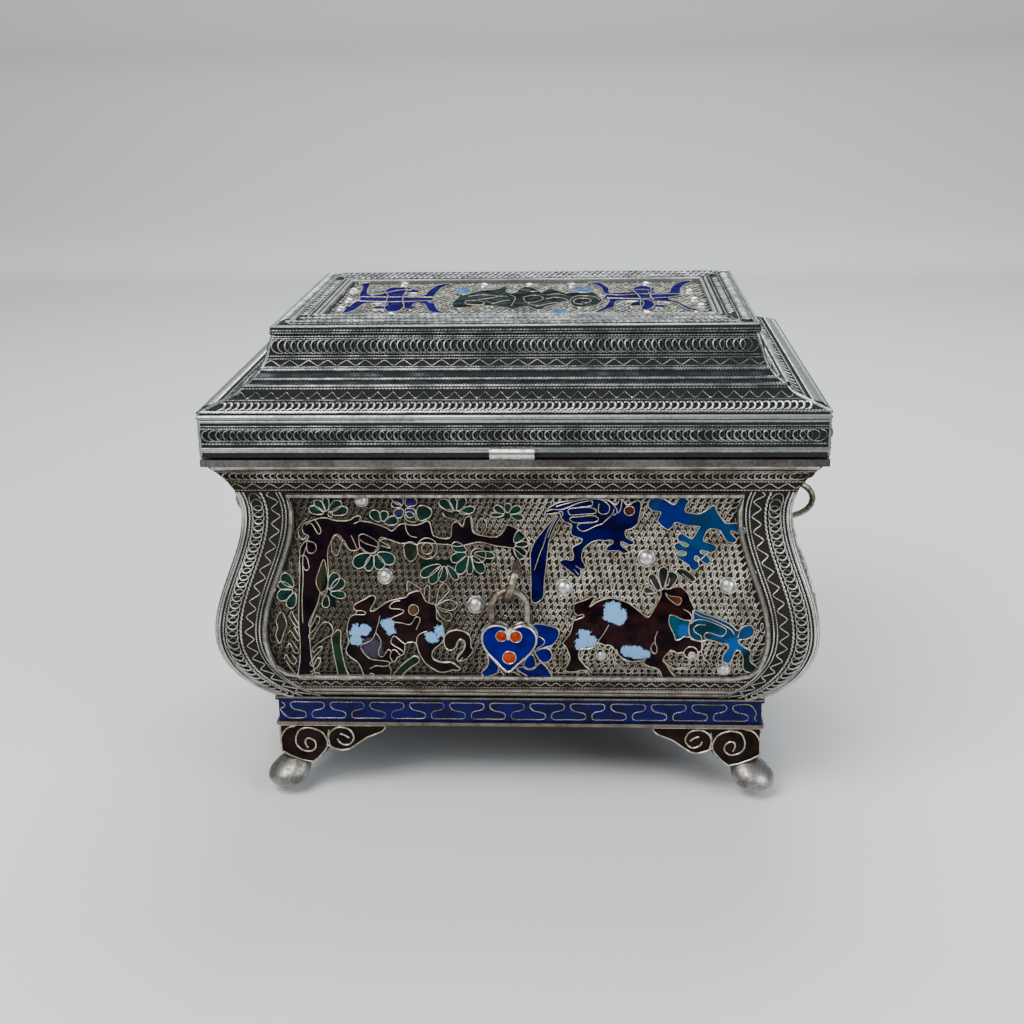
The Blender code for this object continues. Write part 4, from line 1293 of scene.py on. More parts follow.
FRONT_FIGURES = (
    Figure(
        "tree_enamel", "bark", Slot.AUBERGINE, ("tree_trunk", "tree_branch"),
        fields=(
            (-479, 304, 10, 51, 5, 51, -1, 34, 3, 104, -1, 31, 3, 26, 18, 21, -11, 7, -4, 13, 7, 10, 28, 10,
             18, 2, 15, -5, 19, -2, 17, 2, 16, 10, 8, -3, -3, -8, 27, -5, 30, -11, 10, -7, 9, 4, 7, 8, 11, 4,
             17, -3, 17, 1, 17, 8, 7, -6, 3, -15, 7, -13, 32, -3, 5, 28, 11, 8, 12, -12, 5, 18, 11, 6, 5, -13,
             1, -19, 10, -9, 35, -5, 13, 5, 10, 11, 7, 11, 25, -13, 13, -13, 7, -17, -3, -14, -8, -10, -22,
             16, -34, 5, -34, 8, -17, -1, -35, -8, -17, 4, -21, 1, -35, 3, -17, -4, -13, 4, -17, -2, -33, 10,
             -17, -5, -2, -11, -11, -14, -15, 3, -11, 9, -9, -6, -15, 1, -17, 19, -11, 11, -8, -5, -12, -29,
             2, -46, -2, -23, -5, -11, -11, -5, -4, -18, -16, -39, -4, -26, -1, -54, 1, -31, -3, -34),
        ),
        threads=(
            (-369, 616, -8, 10, -9, 0, -7, -10, 0, -25, 9, -8, 6, 6, 9, 27, 9, -14, 6, -7),
            (-334, 625, 11, 3, 26, -14, 6, -14, -13, -13, -24, 8, -6, 15, 0, 15),
            (-332, 616, 13, -8, 26, -8),
            (-291, 616, 9, 5, 34, -13, 13, 2),
            (-289, 614, 18, -10, 4, -6, -20, 6),
            (-80, 636, 3, 19, 8, 8, 9, -6, 0, -15, -9, -15),
            (-351, 625, 6, -13, 6, -14),
            (-456, 445, -1, 49, 2, 40, -1, 41, 7, 26),
            (-448, 648, 11, 4, 14, -23, 7, 4, -4, 13, -8, 13),
            (-468, 637, 11, 15, 12, 11),
            (-466, 637, 2, -13, 8, -8, 9, 6),
            (-447, 614, 17, -6, 3, -13, -9, -8, -11, 6, 0, 21),
            (-464, 550, 2, 29, 13, 2, 7, -24, -9, -4, -4, 8),
            (-486, 460, 7, 9, 4, -11, 10, -18, -6, -4, -15, 24),
            (-489, 422, 6, 5, 12, -21, 7, 5, -12, 25),
            (-494, 389, 7, 10, 9, -23, 9, 3, -13, 27),
            (-503, 360, 5, 11, 10, -24, 7, 0, 4, 11, -8, 13),
            (-500, 355, 10, -26, 11, -25),
            (-418, 508, -7, -25, -18, -38, 4, -9, 12, 22, 6, 0, 2, -6, -11, -20, -14, -14, 0, -7, 8, -2, 5,
             11, 14, 21, 11, 6, 9, -4, 6, -13, -5, -12, -16, -9, -27, -22, 3, -10, 10, 12, 9, 0, -20, -25,
             -11, -17, 6, -6, 11, 20, 7, 0, -2, -11, -11, -17, -14, -10),
            (-348, 664, 17, 4, 2, -9, -15, -8),
            (-154, 677, 8, -11, 30, -9),
            (-141, 684, 34, -7, 13, -9, 4, -30, 8, -9, 34, -8),
            (-234, 655, 2, -17, 8, -13, 15, -4),
            (-451, 314, 8, 6, 9, 0, 5, -8, -8, -8, -8, 0, -6, 10),
        ),
        rings=((-187, 598, 22), (-187, 598, 12)),
    ),
    Figure(
        "tree_moss", "moss", Slot.GREEN,
        fields=(
            (-427, 530, 7, -18, 8, -8, 9, 6, 2, 25, -5, 28, -5, 12, -10, -24),
            (-237, 604, 9, 7, 13, -1, 8, -12, -4, -19, -13, -8, -11, 12),
            (-93, 584, 5, 11, 12, 3, 13, -6, 2, -12, -8, -10, -15, 1),
            (-503, 468, 8, -12, 4, -16, -7, -16, -10, -25, -6, 9, -2, 12, 5, 14, -3, 17),
        ),
    ),
    Figure(
        "fawn_enamel", "fawn", Slot.AUBERGINE, ("fawn",),
        fields=(
            (-345, 475, 3, 9, 23, 12, 11, 6, 9, -2, 0, -8, -11, -19, 9, -2, 30, 19, 30, 7, 9, 2, 8, 8, 22, 4,
             11, -18, 10, -6, 13, -5, 2, -27, 11, -9, 4, -31, -10, -17, -11, -9, -7, -13, 1, -13, 11, -8, 15,
             -3, 15, 0, 17, -17, -7, -4, -11, 1, -14, -6, -17, 1, -25, 23, -13, 28, -5, 22, -11, 3, -13, -5,
             -4, -22, -16, -11, -3, -8, -13, -6, -3, -8, 3, -15, -6, -16, -12, -6, -13, 1, -14, 14, -5, -8,
             -11, 2, -4, 21, -7, 17, -12, 11, -8, 11, -1, 12, 7, 15, -3, 28, 7, 26, 11, 7, 5, 8),
            (-152, 408, 5, 13, 13, 8, 17, 1, 15, -6, 8, -13, 0, -17, 4, -10, -9, -15, -14, -11, -13, 1, 5, 15,
             11, 12, 2, 15, -6, 8, -7, -2, -5, -13, -11, -10, -11, 5),
        ),
        threads=(
            (-289, 461, -4, -18, -14, -34, -25, -14, 3, -15, 8, -13, 12, -8, 33, -5, 1, -8, -11, -6, -18, 2,
             -14, -8),
            (-300, 426, 8, -12, 4, -14, -6, -17, -1, -13, 9, -3, 12, 18, 6, -5),
            (-338, 471, 11, 0, 8, -4, -4, -4, -20, 0),
            (-245, 492, -13, -2, -9, -8, 2, -6, 24, -2, 2, -7, -26, -12, 6, -7, 16, -2, 17, -4, 8, 6, 5, 9, 6,
             2, 5, -6, -9, -22),
            (-188, 428, -15, -6, -7, -10, -1, -19),
            (-236, 398, -9, 7, -14, 12, -7, -10, 1, -9, 21, -15, 4, -7, -7, -6, -10, 13, -8, 0, -6, -16, 4,
             -10),
            (-230, 511, 0, 14, 4, 6, 24, -14, 2, -6),
            (-193, 503, 2, 16, 6, 4, 4, -4, -2, -32),
            (-168, 484, 5, 27, 6, 12, 9, 4, 8, -10, 0, -6, -23, -24),
            (-168, 482, 22, 11, 13, 0, 11, -6, -3, -9, -13, -6, -27, 8),
            (-163, 476, 13, -6, 12, -2, 5, -9, -5, -8, -11, 2, -10, 8, -7, 13),
            (-151, 415, 8, 11, 16, 5, 17, -2, 13, -7, 4, -14, -1, -14, 6, -7),
            (-126, 396, 5, 12, 8, 2, 7, -7, -3, -17, -16, -23, 4, -5, 9, 8),
        ),
        rings=((-216, 473, 11),),
    ),
    Figure(
        "grass_enamel", "blade", Slot.GREEN, ("grass_long", "grass_short"),
        fields=(
            (-395, 406, 1, 10, 9, 11, 7, 3, 4, -7, -2, -28, 4, -53, 4, -24, 6, -17, -26, 2, -3, 39),
            (-277, 302, 31, 44, 27, 22, 11, -5, -3, -11, -19, -15, -32, -35),
        ),
    ),
    Figure(
        "stag_enamel", "stag", Slot.AUBERGINE, ("stag",),
        fields=(
            (127, 483, 5, 5, 26, 9, 8, 5, 5, -4, -11, -18, 19, 12, 28, 7, 29, -7, 15, -8, 26, -20, 7, -4, 6,
             4, 8, 14, 13, 22, 2, 7, -1, 7, 7, 4, 8, -1, 19, 5, 11, -2, 14, -13, 3, -10, 10, -20, -5, -7, 1,
             -8, -5, -9, -3, -13, 3, -23, 8, -6, 15, -2, 4, -12, -3, -12, -7, -3, 0, -10, -12, -6, -13, 6, -6,
             10, -13, -2, -14, 6, -16, -22, 7, -11, 13, -26, 11, -17, -26, -5, -12, 31, -24, 10, -9, 8, 4, 17,
             -10, -10, -20, -3, -15, 5, -12, 11, -18, 23, -13, 1, -14, 6, -9, -10, -15, -5, -13, 0, -5, -11,
             1, -13, 14, -22, 9, -10, -17, 0, -24, -5, -13, 6, 7, 17, 4, 17, -8, 25, -7, 9, 16, 24, 6, 24, 8,
             15, -5, 3),
        ),
        threads=(
            (202, 444, -10, -18, -13, -19, -11, -11),
            (306, 431, -5, -14, 0, -13, 4, -12, -2, -13, -8, 3, -3, 12, 6, 12),
            (360, 477, 10, -5, 7, -8, 1, -7),
            (180, 403, 16, -27, 3, -13, -20, -14),
            (211, 396, -2, -20, 5, -18, 21, -20),
            (218, 389, 8, -18, 13, -13),
            (128, 467, 10, -4, 7, 3, 4, -5, -19, -8),
            (279, 507, 10, 2, 13, -1, 8, -8),
            (300, 503, 4, -6, -15, -27, -8, -1),
            (334, 386, -15, -22, 20, -22, 10, -4, 13, 4, 9, -6),
            (400, 406, 0, -19, 4, -15, 16, -21),
            (362, 382, 5, 9, 10, 5, 11, -5, 4, -10, -7, -11, -13, -8),
            (138, 335, -4, -16, 6, -12),
            (153, 335, 7, -15, 6, -10),
        ),
    ),
    Figure(
        "stag_chest", "teal", Slot.TURQUOISE,
        fields=(
            (331, 464, 9, 0, 21, -9, 13, -2, -3, -13, 1, -13, 3, -9, -13, 1, -8, -6, -10, -2, -2, 9, -12, 27),
        ),
        lift=0.52,
    ),
    Figure(
        "stag_eye", "chestnut", Slot.AUBERGINE,
        fields=(
            (322, 510, 8, -6, 22, -3, 4, -6, -3, -7, -7, -2, -18, 13),
        ),
        lift=0.52,
    ),
    Figure(
        "antler_enamel", "antler", Slot.AUBERGINE, ("antlers",),
        fields=(
            (276, 513, 1, 6, 8, 2, 6, -4, 7, -5, -4, -4, -11, 0),
            (286, 543, 8, 4, 8, -5, 10, -21, -8, -7, -17, 14),
            (309, 556, 8, 5, 8, -3, 2, -7, -6, -24, -5, -10, -8, 20),
            (327, 549, 7, 3, 9, -3, 5, -8, -12, -19, -11, -5, -3, 8),
            (344, 554, 9, 4, 13, -3, 19, -16, -3, -7, -8, 1, -21, 12),
        ),
        threads=(
            (291, 525, 7, -8, 6, -2),
            (328, 547, -6, -20, 5, -2, 4, 14),
            (330, 554, 10, 4, 13, 1),
            (357, 548, 9, -7, 10, -6),
            (310, 513, -8, 4, -6, 8, -7, 12),
        ),
    ),
    Figure(
        "bird_enamel", "bird", Slot.COBALT, ("bird",),
        fields=(
            (66, 677, 4, 7, 20, 14, 15, 5, 36, 6, 29, 5, 13, -4, 15, -2, 19, -13, 9, 16, 12, -15, 6, -1, 17,
             11, 6, -3, 3, -12, -5, -28, -3, -12, -13, -11, -9, -2, -4, -4, 4, -13, 15, -8, -2, -6, -6, -1,
             -17, 7, -3, -4, 3, -6, 13, -9, -3, -5, -8, 0, -9, 5, -25, 0, -1, 5, 5, 6, 8, 4, 1, 5, -6, 3, -9,
             -2, -13, 1, -15, -3, -19, -14, -5, -21, 8, -16, -3, -6, -8, 1, 2, -7, -2, -8, -7, -2, -15, 13,
             -19, 13, -3, 4, 5, 5, 9, 1, 8, -2, 7, 2, 1, 8, -3, 10, 2, 8, 14, 7, 5, 6, -2, 5, -17, 5, -5, 7,
             2, 16, -4, 4, -8, 2, -7, 5, -5, 9, -3, 8, -26, -3),
        ),
        threads=(
            (70, 679, 11, 5, 23, 0, 30, 14, 23, 7, 9, -1, 1, -8, -5, -4, -28, -4),
            (115, 680, 2, 5, 9, 2, 29, 2, 13, -2, 6, -5, -1, -7, -24, -2, -26, -2, -6, 3, -2, 6),
            (119, 664, 4, 2, 15, 1, 28, 3, 11, -4, 3, -6, -8, -5, -15, 0, -17, -2, -14, 2, -7, 5, 0, 4),
            (179, 658, -13, -4, -23, -2, -7, -3, -1, -7, 14, -7, 26, 12, 12, 4, 7, 7, 14, 13, 5, 14),
            (181, 698, -2, -16, 4, -7, 8, -2, 9, 3, 3, 9, -2, 10, -16, 13, -32, 1, -42, -11, -21, -7),
            (193, 708, 13, -7, 13, -18, -2, -9, -5, -3),
            (226, 711, 3, -8, -3, -20, -4, -7),
            (131, 563, 10, -6),
            (127, 556, 5, -4, 6, -7),
        ),
        rings=((245, 681, 11),),
    ),
    Figure(
        "bird_tail_enamel", "bird", Slot.COBALT, ("bird_tail",),
        fields=(
            (94, 677, -15, -20, -17, -21, -18, -23, -9, -23, -1, -14, 2, -40, 0, -36, 4, -10, 7, -1, 15, 11,
             2, 30, 4, 32, 4, 36, 3, 17, 14, 34, 15, 24, -3, 6),
        ),
        threads=(
            (92, 671, -20, -35, -10, -32, -7, -16, -12, -34),
            (94, 668, -9, -15, -8, -17, -5, -15),
        ),
    ),
    Figure(
        "twig_enamel", "twig", Slot.TURQUOISE, ("twig",),
        fields=(
            (284, 696, 7, 15, 22, 0, 11, -6, 13, -9, 6, 3, 8, 16, 6, 1, 13, -11, -4, -8, -4, -15, 5, -5, 23,
             -3, 11, 4, 16, 12, 6, 5, 8, -17, 12, -19, 9, -7, 23, 1, 14, -13, 0, -8, -8, -3, -16, 7, -6, -1,
             2, -5, 11, -12, -3, -6, -8, -1, -11, 5, -9, 15, -7, 8, -21, 0, -11, -19, 3, -7, 20, -6, 5, -7,
             -4, -7, -17, -5, 8, -13, -4, -7, -7, 1, -14, 9, -1, -6, 3, -8, -5, -7, -10, -2, -11, 13, -20, 12,
             -5, 7, 6, 6, -6, 5, -3, 7, 4, 5, 9, 1, -4, 5, -2, 8, 6, 6, 6, 0, 15, -10, 7, 2, 10, 18, 3, 6,
             -27, 2, -23, 7, -10, -12, -9, -4, -17, 14, -2, 9, 6, 14, -6, 4, -11, 1, -7, 5),
        ),
        threads=(
            (488, 638, -7, -9, -10, 3, -6, 4),
            (395, 575, 7, 6, 7, 7),
        ),
    ),
    Figure(
        "twig_tips", "pale_green", Slot.GREEN,
        fields=(
            (353, 611, 3, 3, 7, -3, 7, -3, -1, -5, -8, 0),
            (348, 586, 1, 7, 10, 1, 8, -4, -4, -5, -10, -1),
            (383, 577, 1, 5, 5, 2, 5, -6, -1, -6, -5, 1),
            (396, 590, 1, 5, 11, -1, 6, -3, -7, -5),
        ),
        lift=0.52,
    ),
    Figure(
        "creature_enamel", "creature", Slot.TURQUOISE, ("lizard",),
        fields=(
            (380, 474, 9, 0, 15, -6, 27, -9, 28, -13, 16, -14, 7, 7, 17, 5, 8, -4, 3, -10, -4, -9, -11, -7,
             -12, -1, -7, -4, 14, -14, 11, -6, 4, -8, -2, -13, 4, -11, 9, -7, 5, -9, -4, -9, -10, -3, -12, 6,
             -5, 11, 0, 16, -3, 16, -7, 9, -8, -2, -8, -23, -6, -7, -9, 3, -4, 9, 3, 13, 10, 16, -7, 7, -10,
             1, -20, 7, -14, 0, -7, -3, -12, 2, -11, 7, -5, 12, 0, 13, 4, 10, 6, 7),
        ),
        threads=(
            (397, 456, -12, -2, -9, -7),
            (408, 444, -15, 1, -9, -5, -2, -6, 5, -7, 9, -5, 4, -6, -2, -7),
            (395, 456, 17, -3, 30, -12, 9, -7, -2, -9, -9, -5, -25, 8, -9, -3, -1, -7, 8, -6, 13, -2),
            (382, 471, 17, -9, 22, -6, 36, -18, 11, -13),
            (488, 442, -8, -10, -4, -14),
            (451, 403, 5, -10, -8, -15, -3, -11),
        ),
    ),
    Figure(
        "flower_enamel", "cobalt", Slot.COBALT, ("flower",),
        fields=(
            (36, 435, 4, 8, 13, 2, 30, -6, 10, -5, 3, -10, -5, -14, -8, -10, -10, -6, -12, -3, -13, -7, -8, 1,
             5, 15, 1, 16),
            (44, 380, 4, 7, 20, 3, 8, -4, 4, -10, -1, -11, -8, -8, -10, -3, -9, 8),
            (26, 367, 9, 8, 6, -5, 4, -22, -5, -8, -9, -3, -8, 2, -4, 9),
            (4, 335, 13, 7, 6, -6, 9, -2, 10, 4, 11, 14, 10, -4, 14, -26, -2, -12, -11, -4, -31, 4),
            (-58, 372, 1, -14, -4, -16, -13, -17, 2, -8, 7, -4, 22, 8, 6, 12, -1, 14),
        ),
        threads=(
            (48, 419, 9, -4, 8, -8, -4, -9, -11, -7, -7, -7),
            (-35, 336, 6, -12, 5, -16),
            (-5, 327, 12, -9, 17, -11),
        ),
    ),
)

FANS = (
    Fan("fan_upper_left", (-402, 672), ((-427, 682, 11, 9), (-417, 695, 6, 12), (-402, 697, 9, 16),
        (-380, 695, 8, 10), (-372, 680, 14, 10), (-401, 672, 12, 9))),
    Fan("fan_branch_left", (-284, 650), ((-297, 669, 10, 10), (-279, 669, 9, 10), (-264, 657, 13, 9))),
    Fan("blossom", (-235, 689), ((-247, 708, 13, 7), (-223, 700, 12, 12), (-249, 694, 12, 6), (-245,
        677, 10, 9), (-225, 679, 9, 12))),
    Fan("fan_branch_middle", (-206, 651), ((-195, 673, 17, 14), (-222, 666, 10, 9))),
    Fan("fan_upper_middle", (-124, 673), ((-147, 697, 9, 11), (-129, 703, 9, 10), (-111, 700, 7, 12),
        (-98, 682, 13, 7))),
    Fan("fan_upper_right", (-15, 671), ((-41, 671, 9, 7), (-33, 685, 7, 8), (-13, 689, 9, 9), (4, 683,
        9, 8), (8, 666, 11, 7))),
    Fan("fan_branch_right", (-5, 606), ((12, 625, 11, 8), (18, 607, 12, 7), (12, 590, 13, 8))),
    Fan("fan_hanging", (-302, 591), ((-331, 572, 12, 13), (-311, 566, 8, 13), (-292, 570, 10, 13),
        (-271, 577, 11, 12))),
    Fan("fan_lower_middle", (-149, 569), ((-188, 549, 12, 8), (-173, 537, 10, 8), (-153, 543, 11, 12),
        (-127, 542, 6, 7))),
    Fan("fan_dark", (-95, 590), ((-121, 601, 11, 9), (-123, 579, 11, 9), (-114, 559, 11, 10), (-95, 555,
        9, 10), (-74, 560, 10, 10), (-51, 584, 8, 8))),
    Fan("fan_trunk_left", (-470, 514), ((-491, 534, 10, 10), (-496, 521, 13, 7), (-494, 504, 15, 10),
        (-481, 487, 11, 8))),
    Fan("fan_trunk_right", (-403, 508), ((-389, 533, 8, 14), (-378, 524, 12, 9), (-377, 504, 13, 8),
        (-405, 491, 9, 13))),
)

LID_FIGURES = (
    Figure(
        "bat_left_enamel", "violet", Slot.COBALT, ("lid_bat_left",),
        fields=(
            (-388, 59, -8, 116, -14, 61, -6, 24, 16, -1, 15, -39, 8, -105, 12, -50, 21, -1, 12, 21, -13, 22,
             11, 28, 9, 30, 19, 6, 23, -8, 18, -30, 14, -16, 1, -28, -22, 1, -7, -29, 19, -14, 28, 6, 4, 49,
             5, 51, 10, 44, 15, 22, 20, -1, -14, -37, -10, -44, -4, -113, 2, -41, -9, -27, 16, -13, 9, -53,
             14, -51, 17, -31, -19, 7, -17, 13, -14, 50, -12, 52, -20, 14, -5, -39, 16, -20, -15, -25, -19,
             20, -3, -31, -11, -19, -16, 7, -11, 32, -28, 1, 2, 38, 16, 13, -1, 26, -32, 1, -13, -13, -5, -38,
             -5, -45, -12, -24, -12, -12, 1, 50, -9, 32, 12, 12, 3, 40, 8, 53),
        ),
        threads=(
            (-384, 42, 73, -9, 48, 1, 57, -7),
            (-379, -17, 76, -14, 47, 2, 48, 8),
            (-299, -40, 10, 10, 14, 2, -5, 62, 0, 56),
            (-338, -98, 15, 10, 14, 2),
            (-307, -106, 3, 46, -11, 20),
            (-273, -41, 11, -53, 0, -39),
            (-341, 82, 17, 17, 25, 31, 29, 3),
        ),
    ),
    Figure(
        "bat_right_enamel", "violet", Slot.COBALT, ("lid_bat_right",),
        fields=(
            (156, 227, 15, -1, 17, -16, 12, -45, 7, -45, -1, -43, 17, -7, 28, 5, 15, 14, -7, 36, 13, 29, 20,
             14, 16, -23, 8, -29, -6, -36, 21, -8, 17, 0, 7, 57, 13, 58, 17, 37, 18, 15, 9, -8, -17, -45, -16,
             -58, -5, -57, -6, -49, -24, -26, 5, -34, 13, -20, 20, -72, 16, -26, 17, -13, -20, -11, -19, 25,
             -12, 51, -12, 33, -22, 14, -18, 7, -4, -39, 20, -7, 11, -1, -15, -37, -17, 7, -8, -19, -14, -18,
             -10, 13, -4, 38, -20, 0, 6, 45, 16, 20, -29, 7, -19, -6, -7, -26, -3, -51, -14, -25, -13, -30,
             -18, -18, 11, 43, 12, 31, 9, 51, 3, 46, -14, 21, 8, 41, -7, 35, -2, 50, -12, 52),
        ),
        threads=(
            (194, 57, 38, -16, 47, 11, 35, -2, 61, 4),
            (201, 1, 41, -8, 46, -6, 35, 12, 42, 9),
            (278, -35, 12, 9, 13, -10, 1, 67, -5, 50),
            (311, -70, 17, -27, 12, 7),
            (275, -139, 9, 70, -8, 34),
            (303, -50, 5, -45, -8, -38),
            (261, 96, 20, 21, 23, -15),
        ),
    ),
    Figure(
        "swirl_enamel", "swirl", Slot.GREY_GREEN, ("lid_swirl",),
        fields=(
            (-152, -98, -3, 52, 8, 81, -2, 42, 9, -14, 15, 13, 18, 28, 18, 14, 19, 7, 13, 21, 8, 29, 12, -30,
             -3, -43, 11, -29, 14, 13, 7, 58, 18, 21, 21, -37, 14, -44, 11, 28, 8, 29, 16, -30, 15, -29, 19,
             -8, 42, 12, 17, -21, 9, -43, 7, -54, -5, -39, -9, -32, -18, -13, -23, -5, -14, 26, -5, 39, -16,
             1, -11, -26, -15, -25, -11, -13, -6, -25, -11, -12, -14, 26, -12, 19, -15, -18, -15, -25, -12,
             26, -19, 13, -19, 14, -14, 0, -10, 26, -3, -25, -39, -25, -17, 7),
        ),
        threads=(
            (-120, -73, -6, 20, 2, 26, 19, 6, 22, -27, -2, -33, -18, 1, -17, 7),
            (-79, -35, 20, -28, 19, 33, 16, 6),
            (-99, -14, 27, 19, 22, 27, 19, -8),
            (-126, 28, 18, 20, 23, 6, 35, -22),
            (-27, 45, 13, -29, 0, -54, -4, -65),
            (-8, 129, 26, -30, 19, -1),
            (5, 16, 20, 26, 21, -14, 6, -41, -19, -40, -19, 1, -9, 68),
            (115, -56, -12, 47, -21, 22, -25, -27),
            (184, -32, -9, 41, -19, 21, -23, 1, -14, -33, -4, -41),
            (145, -83, -18, 14, -3, 39, 14, 27, 19, -8, 7, -27, -10, -26, -13, 14),
            (60, 41, 21, 20, 24, -22),
            (20, -78, 24, -21, 21, 25, 23, 19),
        ),
    ),
    Figure(
        "bat_centres", "violet", Slot.COBALT,
        fields=(
            (-334, 135, 9, 30, 19, 6, 15, -8, 10, -37, 0, -64, 8, -90, 9, -53, 1, -64, -13, -25, -16, 7, -14,
             57, -11, 148, -12, 57),
            (264, 125, 13, 32, 15, 9, 14, -25, 0, -54, -5, -69, 7, -68, -3, -64, -10, -38, -12, -12, -8, 19,
             1, 70, 1, 80, -9, 70),
        ),
        lift=0.52,
    ),
    Figure(
        "sky_fields", "pale_blue", Slot.TURQUOISE,
        fields=(
            (-155, 71, -4, 50, 6, 39, 17, -3, 12, -52, -4, -42),
            (121, 88, 1, 58, 17, 14, 20, -13, 12, -40, -10, -28),
            (77, -188, 4, 37, 15, 12, 14, -25, -4, -43, -17, -5),
            (-73, -195, 3, 31, 11, -1, 6, -31, -7, -18),
        ),
        lift=0.52,
    ),
)


@dataclass
class Enameller:
    """Lays enamel and its cell walls on one panel."""

    panel: Panel
    paints: Paints
    wires: "Wirework"
    walls: Mesher = field(default_factory=Mesher)
    dip: float = 0.06

    def layer(
        self, name: str, paint: str, slot: Slot, outlines: Sequence[Points], lift: float = 0.50,
        plates: Sequence[str] = (), walled: bool = True,
    ) -> None:
        """Fill outlines with one enamel and wall them round.

        Args:
            name: name of the piece.
            paint: its finish.
            slot: the record's slot its finish comes from.
            outlines: closed outlines in millimetres.
            lift: how far the enamel stands off the panel.
            plates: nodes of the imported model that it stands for.
            walled: whether a wire runs round each outline.
        """
        glass = Mesher()
        for outline in outlines:
            smooth = evenly(curve_through(outline, 4, True), WALL_STEP, True)
            places, triangles, distance = filled(smooth, 0.7)
            sunk = lift - self.dip * (1.0 - np.exp(-distance / 0.5))
            glass.sheet(self.panel.onto(places, sunk)[0], triangles)
            if walled:
                self.walls.wire(*self.panel.onto(smooth, lift), self.wires.cell, True)
        piece = glass.piece(name, self.paints[paint], self.panel.body, slot)
        if plates:
            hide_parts(*plates)

    def thread(self, path: Points, lift: float = 0.46) -> None:
        """Lay a thin wire on the enamel."""
        smooth = evenly(curve_through(path, 4), WALL_STEP)
        self.walls.wire(*self.panel.onto(smooth, lift), self.wires.inlay)

    def ring(self, centre: Points, radius: float, lift: float = 0.46) -> None:
        """Lay a ring of thin wire."""
        self.walls.wire(*self.panel.onto(circle(centre, radius, 20), lift), self.wires.inlay, True)

    def figure(self, figure: Figure) -> None:
        """Lay a figure.

        Args:
            figure: its fields, threads and rings.
        """
        outlines = [traced(trace) for trace in figure.fields]
        self.layer(figure.name, figure.paint, figure.slot, outlines, figure.lift, figure.plates)
        for trace in figure.threads:
            self.thread(traced(trace), figure.lift - THREAD_SINK)
        for x, y, radius in figure.rings:
            self.ring(np.array([x, y]) / 10.0, radius / 10.0, figure.lift - THREAD_SINK)

    def finish(self, name: str) -> None:
        """Make one piece of all the wires."""
        self.walls.piece(name, self.paints["cell_wire"], self.panel.body, Slot.BRIGHT_SILVER)

    def studs(self, name: str, studs: Sequence[tuple[float, float, float]]) -> None:
        """Set small silver domes, each in a ring of wire.

        Args:
            name: name of the piece.
            studs: place and radius of each, in millimetres.
        """
        domes = Mesher()
        for x, y, radius in studs:
            centre, out = self.panel.onto(np.array([[x, y]]), 0.1)
            domes.dome(centre[0], out[0], radius, 0.72 * radius)
            flat = circle(np.array([x, y]), radius, 18)
            domes.wire(*self.panel.onto(flat, 0.05), Cut(0.22, 0.30, 4), True)
        domes.piece(name, self.paints["stud"], self.panel.body, Slot.BRIGHT_SILVER)


@dataclass
class Wirework:
    """Cuts of the wires that rows are made of."""

    net: Cut = Cut(0.19, 0.22, sink=0.02)
    coil: Cut = Cut(0.20, 0.32)
    crescent: Cut = Cut(0.36, 0.42, 4)
    twist: Cut = Cut(0.38, 0.40, 4, bead=0.95, lean=0.30)
    fine_twist: Cut = Cut(0.30, 0.32, 4, bead=0.62, lean=0.20)
    wave: Cut = Cut(0.15, 0.24)
    bead: Cut = Cut(0.30, 0.32, bead=0.72, lean=0.10)
    fine_bead: Cut = Cut(0.24, 0.26, bead=0.55, lean=0.06)
    rope: Cut = Cut(0.62, 0.60, 5, bead=0.62, lean=0.30)
    cell: Cut = Cut(0.14, 0.17, 4, sink=0.50)
    inlay: Cut = Cut(0.12, 0.17, 4, sink=0.08)


